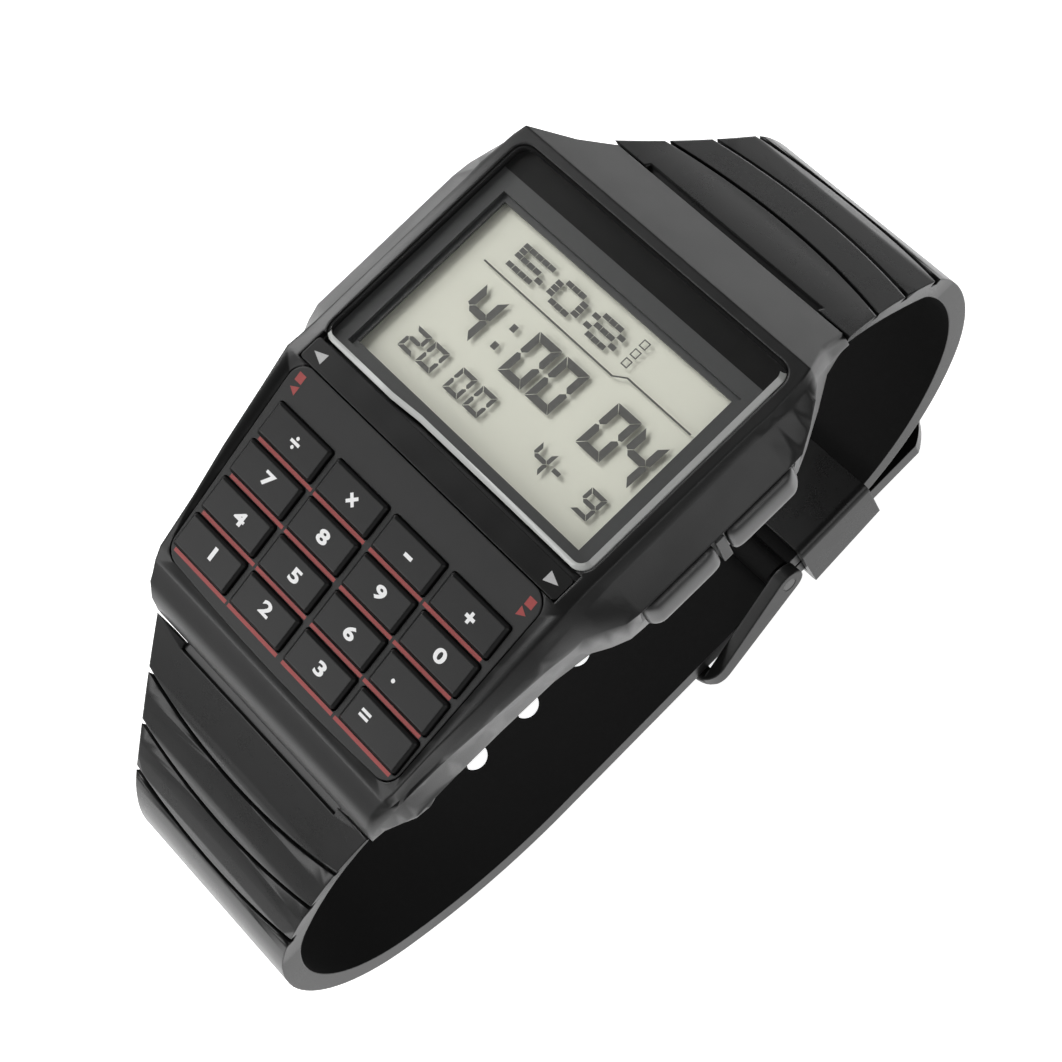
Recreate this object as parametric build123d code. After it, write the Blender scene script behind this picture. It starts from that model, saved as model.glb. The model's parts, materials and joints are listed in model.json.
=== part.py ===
from build123d import *
from math import cos, radians, sin, tan
import os

# A resin calculator watch, buckled, standing on its strap. All lengths are in millimetres.
# The head is drawn with X to 3 o'clock, Y to 12 o'clock and Z = 0 on the crystal's top.
# The finished pieces are lifted at the end, so that the watch stands on Z = 0.

# Sizes shared by several pieces
fit_gap = 0.1                 # round a fixed piece in its recess
part_gap = 0.02               # between faces that almost touch
run_gap = 0.04                # radial, round a pin or stem that turns or slides
overrun = 30.0                # how far a cut reaches past what it cuts

# Crystal and display
crystal_width = 28.38
crystal_length = 20.17
crystal_step = 0.23           # the lower edge's left third hangs this much lower
crystal_step_run = 3.0
crystal_thick = 1.0
crystal_corner = 1.2
crystal_bevel = 0.4
crystal_proud = 0.3           # above the case's deck
mask_inset = 0.15
mask_thick = 0.08
mask_lip = 0.5                # printed mask's edge, outside the display window
bezel_drop = 0.25             # from the printed mask down to the frame round the window
bezel_thick = 0.25
seal_thick = 0.18
seal_width = 0.7
window_width = 24.18
window_length = 14.71
window_sill = 1.27            # from the crystal's lower edge
lcd_margin = 0.3
lcd_thick = 1.1
backlight_thick = 0.3

# Bare strip between crystal and keypad
strip_overhang = 0.19          # past the keypad's top edge at each side
strip_length = 1.98
strip_thick = 0.8
strip_gap = 0.28
strip_corner = 0.3

# Keypad
keypad_tilt = 17.2
keypad_length = 17.48
keypad_top_width = 27.62
keypad_low_width = 26.12
keypad_bow = 0.45
keypad_corner = 1.5
keypad_gap = 0.13
plate_thick = 1.3
plate_sink = 0.02
plate_ledge = 0.45            # width of the step that carries the plate
key_pitch = 3.47
key_length = 2.85
inner_key_width = 5.67
outer_key_width = 6.1
key_space = 0.7
key_foot = 0.97               # plate below the lowest row
key_proud = 0.42
key_travel = 0.35
key_skirt = 0.28              # part of the cap that stays below the plate's face
key_bevel = 0.2
key_corner = 0.15
stem_margin = 0.75            # cap's overhang round its stem
flange_margin = 0.35          # flange's overhang round the stem
flange_thick = 0.3
membrane_thick = 0.3
pip_height = 0.23
pip_width = 1.6
contact_thick = 0.2
web_thick = 0.7

# Case
bezel_wall = 3.71             # crystal's edge to the widest flank
shoulder_land = 0.9           # flat deck above the crystal
shoulder_run = 4.73           # slanted shoulder from the deck to the strap
shoulder_drop = 6.04
nose_run = 3.56               # from the keypad plate down to the strap
nose_drop = 4.55
case_depth = 10.7
cavity_width = 24.8
cavity_corner = 6.2
cavity_wall = 1.5             # wall left beside each strap's barrel
ceiling_thick = 1.5           # resin under the crystal's ledge

# Case back
back_width = 26.6
back_corner = 3.4
back_flange = 0.8
back_dish = 1.1
back_dish_margin = 1.6
back_draft = 0.9
back_sheet = 0.75
gasket_inset = 0.1            # from the module cavity's wall
gasket_width = 0.4
gasket_height = 0.5
screw_inset = 1.9
screw_radius = 0.5
screw_head_radius = 1.0
screw_head_height = 0.55
screw_length = 2.1
screw_slot = 0.25

# Side buttons
button_length = 6.85
button_height = 3.4
button_proud = 0.45
button_travel = 0.6
button_recess = 1.0
button_top = 3.3              # below the crystal's top
button_ramp = 0.75
button_undercut = 0.5
button_end = 0.6              # depth of the corner cut off its far end
guard_width = 0.8
guard_proud = 0.1
guard_place = 8.65            # above the crystal's lower edge
stem_radius = 0.6
clip_thick = 0.25
clip_radius = 1.05
seal_wall = 0.5
seal_length = 0.5
contact_gap = 0.2
leaf_thick = 0.15
leaf_width = 1.6

# Module
frame_thick = 3.3
connector_length = 20.0
connector_width = 1.2
board_thick = 0.8
battery_radius = 10.0
battery_thick = 2.5
clip_band = 5.0
chip_size = 6.0
chip_height = 0.8
can_radius = 1.0
buzzer_radius = 6.2
buzzer_thick = 0.25

# Strap bars and strap roots
bar_radius = 0.75
bar_tip_radius = 0.4
bar_tip_length = 0.9
bar_inset_short = 2.54        # bar's centre, in from the case's end
bar_inset_long = 2.3
bar_drop_short = 2.56         # bar's centre, below the strap's outer edge
bar_drop_long = 0.9
barrel_wall = 0.56
lug_gap_half = 9.5
root_gap = 0.16               # case's end to the strap's side parts
root_slot = 0.78              # case's end to the strap's middle
root_sink = 0.3
neck_gap = 0.28

# Strap paths: runs are lengths, bends are a radius and a turn in degrees
short_heading = -44.71
short_run = 13.45
short_knee_radius = 6.94
short_knee_turn = 19.39
short_side_radius = 14.02
short_side_turn = 56.53
long_drop = 0.35              # strap's outer edge below the case's end edge
long_heading = 220.16
long_side_radius = 73.05
long_side_turn = 11.13
long_heel_radius = 13.15
long_heel_turn = 102.59
long_base_radius = 34.6
tail_slope = 3.0
tail_reach = 32.2             # tip of the strap, towards 12 o'clock
tail_corner = 5.5
root_thick = 1.6
side_thick = 1.9
short_thick = 1.7
long_thick = 1.8
layer_gap = 0.25
root_half_short = 12.5
root_half_long = 12.6
waist_half = 9.3
back_half = 8.6
waist_drop = 13.5             # height over which the straps narrow
strap_curve = 0.55            # hollow of that narrowing edge
groove_count = 3
groove_pitch = 4.4
groove_width = 0.42
groove_depth = 0.5
groove_bow = 2.0
hole_radius = 1.2
hole_pitch = 6.1
holes_behind = 4
holes_ahead = 3

# Buckle and keeper, placed along the tail
buckle_place = 13.5
tongue_hole_place = 9.5
frame_bar_place = 3.5
pin_radius = 0.6
pivot_wall = 0.65
ear_radius = 1.45
frame_wall = 1.1
frame_side_gap = 0.3
frame_bar_radius = 0.75
frame_bar_gap = 0.32
frame_corner = 2.2
frame_notch = 0.86
frame_flat = 0.08
tongue_half = 0.7
tongue_thick = 0.6
tongue_side_gap = 0.2
tongue_knee = 0.6
tongue_lean = 18.0            # of its crank, through the strap's hole
tongue_overhang = 1.0
tongue_gap = 0.12
tongue_sheet = 0.46
keeper_place = 15.7
keeper_length = 7.8
keeper_gap = 0.28
keeper_headroom = 0.85
keeper_wall = 0.9
keeper_ridge = 1.25
keeper_round = 0.8

# Places along the head, from 12 to 6 o'clock
keypad_run = keypad_length * cos(radians(keypad_tilt))
keypad_fall = keypad_length * sin(radians(keypad_tilt))
case_length = (
    shoulder_run + shoulder_land + crystal_length + crystal_step + strip_gap
    + strip_length + keypad_gap + keypad_run + nose_run
)
case_half = case_length / 2
shoulder_y = case_half - shoulder_run
crystal_top_y = shoulder_y - shoulder_land
crystal_low_y = crystal_top_y - crystal_length
strip_top_y = crystal_low_y - crystal_step - strip_gap
strip_low_y = strip_top_y - strip_length
keypad_top_y = strip_low_y - keypad_gap
keypad_low_y = keypad_top_y - keypad_run
flank_half = crystal_width / 2 + bezel_wall
deck_z = -crystal_proud
ledge_z = -(crystal_thick + mask_thick + bezel_drop + bezel_thick + seal_thick)
ceiling_z = ledge_z - ceiling_thick
back_z = -case_depth
keypad_low_z = deck_z - keypad_fall
window_y = crystal_low_y + window_sill + window_length / 2
guard_y = crystal_low_y + guard_place
button_ys = [guard_y + side * (guard_width + button_length + 2 * fit_gap) / 2 for side in (1, -1)]
button_z = -(button_top + button_height / 2)

# Keypad plane: local X to 3 o'clock, local Y up the slope, local Z out of the keys
keypad_plane = Plane(
    origin=(0, keypad_top_y, deck_z - plate_sink),
    x_dir=(1, 0, 0),
    z_dir=(0, -sin(radians(keypad_tilt)), cos(radians(keypad_tilt))),
)
flange_depth = plate_thick + part_gap
pip_depth = flange_depth + flange_thick + key_travel + part_gap
membrane_depth = pip_depth + pip_height
contact_depth = membrane_depth + membrane_thick
pocket_depth = contact_depth + contact_thick
web_depth = pocket_depth + web_thick


def prism(outline, low, high):
    """A flat outline on XY, made solid between two heights."""
    return Pos(0, 0, low) * extrude(outline, high - low)


def block(low, high):
    """A box from its low corner to its high corner."""
    sizes = [end - start for start, end in zip(low, high)]
    return Pos(*low) * Box(*sizes, align=(Align.MIN, Align.MIN, Align.MIN))


def both_sides(solid):
    """A piece and its mirror image across the middle of the watch."""
    return [solid, mirror(solid, about=Plane.YZ)]


def direction(angle):
    """Unit vector at an angle in degrees."""
    return Vector(cos(radians(angle)), sin(radians(angle)))


# Crystal, its seal and the printed mask share one outline with a small step in its lower edge.
def crystal_outline(grow):
    """The crystal's outline, moved out by a margin all round."""
    half = crystal_width / 2
    step_x = -half / 3
    left_y = crystal_low_y - crystal_step
    points = [
        (-half, left_y), (step_x - crystal_step_run / 2, left_y),
        (step_x + crystal_step_run / 2, crystal_low_y), (half, crystal_low_y),
        (half, crystal_top_y), (-half, crystal_top_y),
    ]
    outline = make_face(Polyline(*points, close=True))
    corners = [v for v in outline.vertices() if abs(abs(v.X) - half) < part_gap]
    outline = fillet(corners, crystal_corner)
    return offset(outline, grow, kind=Kind.INTERSECTION) if grow else outline


def display_rectangle(margin):
    """A rectangle round the display window."""
    shape = Rectangle(window_width + 2 * margin, window_length + 2 * margin)
    return Pos(0, window_y) * shape


crystal = prism(crystal_outline(0), -crystal_thick, 0)
crystal = chamfer(crystal.faces().sort_by(Axis.Z)[-1].edges(), crystal_bevel)
bezel_z = -(crystal_thick + mask_thick + bezel_drop)
mask_low_z = bezel_z - bezel_thick
display_mask = prism(crystal_outline(-mask_inset) - display_rectangle(mask_lip), bezel_z, -crystal_thick)
display_mask += prism(crystal_outline(-mask_inset) - display_rectangle(0), mask_low_z, bezel_z)
seal_ring = crystal_outline(-mask_inset) - crystal_outline(-mask_inset - seal_width)
crystal_gasket = prism(seal_ring, ledge_z, mask_low_z)
lcd_top_z = mask_low_z - part_gap
lcd_low_z = lcd_top_z - lcd_thick
lcd_panel = prism(display_rectangle(lcd_margin), lcd_low_z, lcd_top_z)
backlight_panel = prism(display_rectangle(lcd_margin), lcd_low_z - backlight_thick, lcd_low_z)

strip_width = keypad_top_width + 2 * strip_overhang
strip_face = Pos(0, (strip_top_y + strip_low_y) / 2) * RectangleRounded(
    strip_width, strip_length, strip_corner
)
band_strip = prism(strip_face, deck_z - strip_thick, deck_z)


# Keypad plate, keys and the rubber sheet under them, in the keypad plane
def cut_rectangle(width, length, corner):
    """A rectangle with its corners cut off."""
    return chamfer(Rectangle(width, length).vertices(), corner)


def keypad_outline(grow):
    """The plate's outline: a trapezium with round corners and a bowed lower edge."""
    top, low = keypad_top_width / 2 + grow, keypad_low_width / 2 + grow
    end = -keypad_length - grow
    lines = Polyline((-low, end), (-top, grow), (top, grow), (low, end))
    bow = ThreePointArc((low, end), (0, end - keypad_bow), (-low, end))
    outline = make_face([*lines.edges(), bow])
    return fillet(outline.vertices(), keypad_corner)


def pocket_outline(shrink):
    """The space under the plate, inside the step that carries it."""
    width = keypad_low_width - 2 * plate_ledge - 2 * shrink
    length = keypad_length - 2 * plate_ledge - 2 * shrink
    return Pos(0, -keypad_length / 2) * RectangleRounded(width, length, keypad_corner - shrink)


low_row_y = key_foot + key_length / 2 - keypad_length
row_ys = [low_row_y + row * key_pitch for row in (3, 2, 1, 0)]
inner_x = (key_space + inner_key_width) / 2
outer_x = key_space / 2 + inner_key_width + key_space + outer_key_width / 2
columns = [
    (-outer_x, outer_key_width), (-inner_x, inner_key_width),
    (inner_x, inner_key_width), (outer_x, outer_key_width),
]
key_names = [
    ["divide", "times", "minus", "plus"],
    ["7", "8", "9", "0"],
    ["4", "5", "6", "point"],
    ["1", "2", "3", "equals"],
]
pocket_floor = key_skirt + key_travel + part_gap + fit_gap

upright = block((-overrun, keypad_top_y, -overrun), (overrun, keypad_top_y + overrun, overrun))
keypad_plate = prism(keypad_outline(0), -plate_thick, 0)
key_membrane = prism(pocket_outline(fit_gap), -contact_depth, -membrane_depth)
key_contact_sheet = prism(pocket_outline(fit_gap), -pocket_depth, -contact_depth)
keys = {}
for row_y, names in zip(row_ys, key_names):
    for (key_x, key_width), name in zip(columns, names):
        spot = Pos(key_x, row_y)
        cap_face = cut_rectangle(key_width, key_length, key_corner)
        cap = prism(cap_face, -key_skirt, key_proud)
        cap = chamfer(cap.faces().sort_by(Axis.Z)[-1].edges(), key_bevel)
        stem_width, stem_length = key_width - 2 * stem_margin, key_length - 2 * stem_margin
        stem = prism(Rectangle(stem_width, stem_length), -flange_depth, -key_skirt)
        flange_face = Rectangle(stem_width + 2 * flange_margin, stem_length + 2 * flange_margin)
        flange = prism(flange_face, -flange_depth - flange_thick, -flange_depth)
        keys["key_" + name] = keypad_plane * (spot * (cap + stem + flange))
        sink = cut_rectangle(key_width + 2 * fit_gap, key_length + 2 * fit_gap, key_corner)
        keypad_plate -= spot * prism(sink, -pocket_floor, overrun)
        slot = Rectangle(stem_width + 2 * fit_gap, stem_length + 2 * fit_gap)
        keypad_plate -= spot * prism(slot, -overrun, 0)
        key_membrane += spot * prism(Rectangle(pip_width, pip_width), -membrane_depth, -pip_depth)
keypad_plate = keypad_plane * keypad_plate - upright
key_membrane = keypad_plane * key_membrane
key_contact_sheet = keypad_plane * key_contact_sheet


# Case hull: a loft through cross-sections from 12 to 6 o'clock, like a ship's hull turned over.
def hull_section(y, top, back, half_shares, line_shares):
    """One cross-section of the case, the same on both sides of the middle."""
    heights = [top] + [top + share * (back - top) for share in line_shares] + [back]
    right = [(share * flank_half, z) for share, z in zip(half_shares, heights)]
    left = [(-x, z) for x, z in reversed(right)]
    return make_face(Polyline(*[(x, y, z) for x, z in right + left], close=True))


def spaced(start, end, y_shares, z_shares):
    """Places from start to end, each a pair of Y and Z."""
    return [
        (start[0] + y_share * (end[0] - start[0]), start[1] + z_share * (end[1] - start[1]))
        for y_share, z_share in zip(y_shares, z_shares)
    ]


flank_top_y = button_ys[0] + button_length / 2 + guard_width
flank_low_y = button_ys[1] - button_length / 2
case_end_12 = (case_half, deck_z - shoulder_drop)
case_end_6 = (-case_half, keypad_low_z - nose_drop)
keypad_end = (keypad_low_y, keypad_low_z)
shoulder_shares = [0.0, 0.5]
corner_shares = [0.0, 0.25, 0.62, 1.0]
waist_shares = [0.0, 0.32, 0.66]
slope_shares = [0.0, 0.2, 0.5, 0.75]
nose_run_shares = [0.0, 0.28, 0.67, 0.9, 1.0]
nose_drop_shares = [0.0, 0.08, 0.34, 0.67, 1.0]
rim_points = [
    *spaced(case_end_12, (shoulder_y, deck_z), shoulder_shares, shoulder_shares),
    *spaced((shoulder_y, deck_z), (flank_top_y, deck_z), corner_shares, corner_shares),
    (flank_top_y - 2 * guard_width, deck_z),
    *spaced((flank_low_y, deck_z), (keypad_top_y, deck_z), waist_shares, waist_shares),
    *spaced((keypad_top_y, deck_z), keypad_end, slope_shares, slope_shares),
    *spaced(keypad_end, case_end_6, nose_run_shares, nose_drop_shares),
]
# Widths at the rim, groove, belt, parting line and back, as shares of the flank's half width
hull_half_shares = [
    (0.665, 0.682, 0.692, 0.655, 0.63), (0.72, 0.732, 0.746, 0.682, 0.648),
    (0.832, 0.841, 0.846, 0.76, 0.693), (0.844, 0.86, 0.899, 0.793, 0.754),
    (0.849, 0.872, 0.95, 0.844, 0.81), (0.855, 0.873, 0.994, 0.888, 0.855),
    (0.849, 0.874, 1.0, 0.905, 0.872),
    (0.849, 0.874, 1.0, 0.905, 0.872), (0.849, 0.874, 0.985, 0.9, 0.864),
    (0.852, 0.876, 0.945, 0.868, 0.83),
    (0.857, 0.879, 0.911, 0.837, 0.797), (0.838, 0.865, 0.888, 0.826, 0.788),
    (0.813, 0.837, 0.858, 0.821, 0.788), (0.788, 0.817, 0.83, 0.821, 0.785),
    (0.763, 0.788, 0.796, 0.815, 0.765), (0.743, 0.765, 0.775, 0.782, 0.72),
    (0.722, 0.742, 0.75, 0.748, 0.68), (0.708, 0.725, 0.732, 0.728, 0.66),
    (0.69, 0.706, 0.712, 0.71, 0.655),
]
# Depths of the groove, belt and parting line, as shares of the section's own height
hull_line_shares = [
    (0.14, 0.39, 0.69), (0.11, 0.29, 0.84),
    (0.063, 0.173, 0.875), (0.077, 0.168, 0.875), (0.087, 0.231, 0.875), (0.096, 0.279, 0.875),
    (0.096, 0.269, 0.875),
    (0.096, 0.269, 0.875), (0.1, 0.296, 0.875), (0.103, 0.288, 0.88),
    (0.108, 0.274, 0.885), (0.114, 0.253, 0.875), (0.143, 0.246, 0.85), (0.172, 0.256, 0.82),
    (0.2, 0.254, 0.73), (0.14, 0.24, 0.6), (0.08, 0.22, 0.48), (0.08, 0.23, 0.45),
    (0.09, 0.23, 0.45),
]
hull_back_shares = [
    0.9, 0.95, 1.0, 1.0, 1.0, 1.0, 1.0, 1.0, 1.0, 1.0, 1.0, 1.0, 1.0, 1.01, 1.05, 1.12, 1.16, 1.16, 1.14,
]
stations = [
    hull_section(y, top, back_share * back_z, halves, lines)
    for (y, top), halves, lines, back_share in zip(
        rim_points, hull_half_shares, hull_line_shares, hull_back_shares
    )
]
case_body = loft(stations, ruled=True)

# Recesses in the deck
case_body -= prism(crystal_outline(fit_gap), ledge_z, overrun)
strip_slot = Pos(0, (crystal_low_y + strip_low_y - fit_gap) / 2) * Rectangle(
    strip_width + 2 * fit_gap, crystal_low_y - strip_low_y + fit_gap
)
case_body -= prism(strip_slot, deck_z - strip_thick, overrun)
case_body -= keypad_plane * prism(keypad_outline(fit_gap), -plate_thick, overrun)
case_body -= keypad_plane * prism(pocket_outline(0), -pocket_depth, 0)
case_body -= prism(display_rectangle(lcd_margin + fit_gap), -overrun, ledge_z)

# Cavity for the module, closed by the back plate
bar_y_short = case_half - bar_inset_short
bar_y_long = -case_half + bar_inset_long
barrel_radius = bar_radius + run_gap + barrel_wall
cavity_top_y = bar_y_short - barrel_radius - neck_gap - cavity_wall
cavity_low_y = bar_y_long + barrel_radius + neck_gap + cavity_wall
cavity_y = (cavity_top_y + cavity_low_y) / 2
cavity_length = cavity_top_y - cavity_low_y
back_length = cavity_length + back_width - cavity_width


def cavity_outline(shrink):
    """The module cavity's plan, drawn in by a margin."""
    return Pos(0, cavity_y) * RectangleRounded(
        cavity_width - 2 * shrink, cavity_length - 2 * shrink, cavity_corner - shrink
    )


def back_outline(shrink):
    """The back plate's plan, drawn in by a margin."""
    return Pos(0, cavity_y) * RectangleRounded(
        back_width - 2 * shrink, back_length - 2 * shrink, back_corner - shrink
    )


def keypad_block(margin):
    """Everything above the web that floors the keypad's pocket."""
    low, high = -keypad_length - overrun, keypad_gap + strip_length
    body = block((-overrun, low, -web_depth - margin), (overrun, high, overrun))
    return keypad_plane * body


plate_z = back_z + back_flange
case_body -= prism(cavity_outline(0), back_z - overrun, ceiling_z) - keypad_block(0)
case_body -= prism(back_outline(-fit_gap), back_z - overrun, plate_z)
gasket_ring = cavity_outline(-gasket_inset - gasket_width - part_gap) - cavity_outline(
    part_gap - gasket_inset
)
screw_x = back_width / 2 - screw_inset
screw_y = back_length / 2 - screw_inset
screw_spots = [Pos(x, cavity_y + y) for x in (-screw_x, screw_x) for y in (-screw_y, screw_y)]
for spot in screw_spots:
    case_body -= spot * prism(Circle(screw_radius + part_gap), back_z, back_z + screw_length + fit_gap)

# Lug slots, with the hull of each strap's neck and barrel drawn first on the side profile
short_start = Vector(case_half + root_gap, deck_z - shoulder_drop - root_gap)
long_start = Vector(-case_half - root_gap, keypad_low_z - nose_drop - long_drop)
bar_short = Vector(bar_y_short, short_start.Y - bar_drop_short)
bar_long = Vector(bar_y_long, long_start.Y - bar_drop_long)


def neck_profile(bar, start, heading, side):
    """Side view of the neck that joins a strap's middle to its barrel round the bar."""
    inward = side * direction(heading + 90)
    outer = start + root_slot * direction(heading) + root_sink * inward
    inner = start + root_slot * direction(heading) + root_thick * inward
    far = outer + root_slot * direction(heading)
    far_inner = inner + root_slot * direction(heading)
    barrel = Pos(bar.X, bar.Y) * Circle(barrel_radius)
    end = make_face(Polyline(outer, far, far_inner, inner, close=True))
    return make_hull([*barrel.edges(), *end.edges()])


neck_short = neck_profile(bar_short, short_start, short_heading, -1)
neck_long = neck_profile(bar_long, long_start, long_heading, 1)
lug_bore_half = lug_gap_half + bar_tip_length + fit_gap
for neck, bar in ((neck_short, bar_short), (neck_long, bar_long)):
    away = 1 if bar.X > 0 else -1
    opening = block(
        (-lug_gap_half, min(bar.X, bar.X + away * overrun), bar.Y - overrun),
        (lug_gap_half, max(bar.X, bar.X + away * overrun), bar.Y),
    )
    case_body -= extrude(Plane.YZ * offset(neck, neck_gap), lug_gap_half, both=True)
    case_body -= opening
    bore = Plane.YZ * (Pos(bar.X, bar.Y) * Circle(bar_tip_radius + part_gap))
    case_body -= extrude(bore, lug_bore_half, both=True)


# Side buttons: cap, stem, clip and seal, in a recess of the flank
def button_profile():
    """Cross-section of a button's cap, slanted above and cut back below."""
    top, low = -button_top, -button_top - button_height
    face = flank_half + button_proud
    points = [
        (cap_x, top), (flank_half, top), (face, top - button_ramp),
        (face, low + button_undercut), (face - button_undercut, low), (cap_x, low),
    ]
    return Plane.XZ * make_face(Polyline(*points, close=True))


def button_plan(side):
    """A cap seen from above, with the outer corner away from the guard cut off."""
    face, half = flank_half + button_proud, button_length / 2
    points = [
        (cap_x, -half), (face, -half), (face, half - 2 * button_end),
        (face - button_end, half), (cap_x, half),
    ]
    return make_face(Polyline(*[(x, side * y) for x, y in points], close=True))


recess_x = flank_half - button_recess
cap_x = recess_x + button_travel + fit_gap
cavity_x = cavity_width / 2
clip_x = cavity_x - part_gap - clip_thick
stem_end_x = clip_x - clip_thick
guard_x = flank_half + guard_proud
guard = block(
    (recess_x, guard_y - guard_width / 2, button_z - button_height / 2),
    (guard_x, guard_y + guard_width / 2, button_z + button_height / 2),
)
buttons = []
clips = []
seals = []
leaves = []
board_top_z = ceiling_z - frame_thick
for button_y in button_ys:
    length = button_length / 2
    cap = Pos(0, button_y) * extrude(button_profile(), length, both=True)
    side = 1 if button_y > guard_y else -1
    cap &= Pos(0, button_y) * prism(button_plan(side), -case_depth, 0)
    axle = Pos(0, button_y, button_z) * Rotation(0, 90, 0)
    stem = axle * prism(Circle(stem_radius), stem_end_x, cap_x)
    groove_ring = Circle(stem_radius) - Circle(stem_radius * 3 / 4)
    stem -= axle * prism(groove_ring, clip_x - part_gap, clip_x + clip_thick + part_gap)
    clip = axle * prism(Circle(clip_radius) - Circle(stem_radius * 3 / 4 + part_gap),
                        clip_x, clip_x + clip_thick)
    seal_inner = stem_radius + part_gap
    seal_outer = seal_inner + seal_wall
    seal_x = recess_x - part_gap
    seal = axle * prism(Circle(seal_outer) - Circle(seal_inner), seal_x - seal_length, seal_x)
    leaf_x = stem_end_x - button_travel - contact_gap
    leaf = block(
        (leaf_x - leaf_thick, button_y - leaf_width / 2, board_top_z),
        (leaf_x, button_y + leaf_width / 2, button_z + clip_radius),
    )
    buttons += both_sides(cap + stem)
    clips += both_sides(clip)
    seals += both_sides(seal)
    leaves += both_sides(leaf)
    recess = block(
        (recess_x, button_y - length - fit_gap, button_z - button_height / 2 - fit_gap),
        (flank_half + overrun, button_y + length + fit_gap, button_z + button_height / 2 + fit_gap),
    )
    bore = axle * prism(Circle(stem_radius + run_gap), 0, flank_half)
    seat = axle * prism(Circle(seal_outer + part_gap), seal_x - seal_length - part_gap, flank_half)
    for cut in (recess, bore, seat):
        for solid in both_sides(cut):
            case_body -= solid
for solid in both_sides(guard):
    case_body += solid

# Case back with a dished middle, its gasket and screws
dish_z = back_z - back_dish
dish_face = back_outline(back_dish_margin)
dish_low = back_outline(back_dish_margin + back_draft)
case_back = prism(back_outline(0), back_z, plate_z)
case_back += loft([Pos(0, 0, back_z) * dish_face, Pos(0, 0, dish_z) * dish_low], ruled=True)
hollow_face = back_outline(back_dish_margin + back_sheet)
hollow_low = back_outline(back_dish_margin + back_draft + back_sheet)
hollow_z = dish_z + back_sheet
case_back -= loft([Pos(0, 0, plate_z) * hollow_face, Pos(0, 0, hollow_z) * hollow_low], ruled=True)
case_body -= prism(gasket_ring, plate_z, plate_z + gasket_height)
gasket_face = cavity_outline(-gasket_inset - gasket_width) - cavity_outline(-gasket_inset)
case_back_gasket = prism(gasket_face, plate_z, plate_z + gasket_height - part_gap)
screws = []
for spot in screw_spots:
    case_back -= spot * prism(Circle(screw_head_radius + fit_gap), back_z, back_z + screw_head_height)
    case_back -= spot * prism(Circle(screw_radius + fit_gap), back_z, plate_z)
    head = prism(Circle(screw_head_radius), back_z + part_gap, back_z + screw_head_height)
    slot = block((-screw_head_radius, -screw_slot / 2, back_z),
                 (screw_head_radius, screw_slot / 2, back_z + screw_head_height / 2))
    shank = prism(Circle(screw_radius), back_z + screw_head_height, back_z + screw_length)
    screws.append(spot * (head + shank - slot))

# Module: frame, board, connectors, battery, chip, crystal can and buzzer
board_low_z = board_top_z - board_thick
module_low_y = keypad_top_y - keypad_run / 3
module_cut = block((-overrun, module_low_y - overrun, -overrun), (overrun, module_low_y, overrun))
module_frame = prism(cavity_outline(fit_gap), board_top_z, ceiling_z - part_gap)
module_frame -= keypad_block(fit_gap)
module_frame -= module_cut
connectors = []
for side in (1, -1):
    spot = Pos(0, window_y + side * (window_length / 2 - connector_width))
    hole = Rectangle(connector_length + 2 * part_gap, connector_width + 2 * part_gap)
    module_frame -= spot * prism(hole, -overrun, 0)
    connectors.append(spot * prism(Rectangle(connector_length, connector_width),
                                   board_top_z, lcd_low_z - backlight_thick))
notch_x = leaf_x - leaf_thick - fit_gap
for button_y in button_ys:
    notch_half = clip_radius + fit_gap
    notch = block((notch_x, button_y - notch_half, board_top_z),
                  (overrun, button_y + notch_half, button_z + clip_radius + fit_gap))
    for solid in both_sides(notch):
        module_frame -= solid
circuit_board = prism(cavity_outline(fit_gap), board_low_z, board_top_z) - module_cut
battery_y = cavity_y + cavity_length / 2 - battery_radius - cavity_wall
battery_top_z = board_low_z - fit_gap
battery_low_z = battery_top_z - battery_thick
battery_spot = Pos(0, battery_y)
battery = battery_spot * prism(Circle(battery_radius), battery_low_z, battery_top_z)
clip_low_z = battery_low_z - clip_thick
clip_half = battery_radius + clip_thick + fit_gap
battery_clip = battery_spot * (
    block((-clip_half, -clip_band / 2, clip_low_z), (clip_half, clip_band / 2, battery_low_z))
    + block((clip_half - clip_thick, -clip_band / 2, battery_low_z),
            (clip_half, clip_band / 2, board_low_z))
    + block((-clip_half, -clip_band / 2, battery_low_z),
            (clip_thick - clip_half, clip_band / 2, board_low_z))
)
chip_y = battery_y - battery_radius - chip_size / 2 - cavity_wall / 2
chip_face = Pos(0, chip_y + cavity_wall) * RectangleRounded(chip_size, chip_size / 2, can_radius)
control_chip = prism(chip_face, board_low_z - chip_height, board_low_z)
can_x = chip_size / 2 + 2 * can_radius + cavity_wall
can_z = board_low_z - can_radius
quartz_can = Pos(can_x, chip_y + cavity_wall, can_z) * Rotation(90, 0, 0) * Cylinder(
    can_radius, chip_size / 2
)
buzzer_y = battery_y - battery_radius - buzzer_radius / 2
buzzer_disc = Pos(0, buzzer_y) * prism(Circle(buzzer_radius), hollow_z, hollow_z + buzzer_thick)


# Strap paths, followed leg by leg; a leg with no turn is a straight run
def walk(start, heading, legs):
    """Start, middle and end of each leg, each as a point and its heading."""
    place, angle = start, heading
    stops = [(place, angle)]
    for size, turn in legs:
        for half in range(2):
            if turn:
                chord = 2 * size * sin(radians(abs(turn) / 4))
                place = place + chord * direction(angle + turn / 4)
                angle += turn / 2
            else:
                place = place + size / 2 * direction(angle)
            stops.append((place, angle))
    return stops


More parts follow.
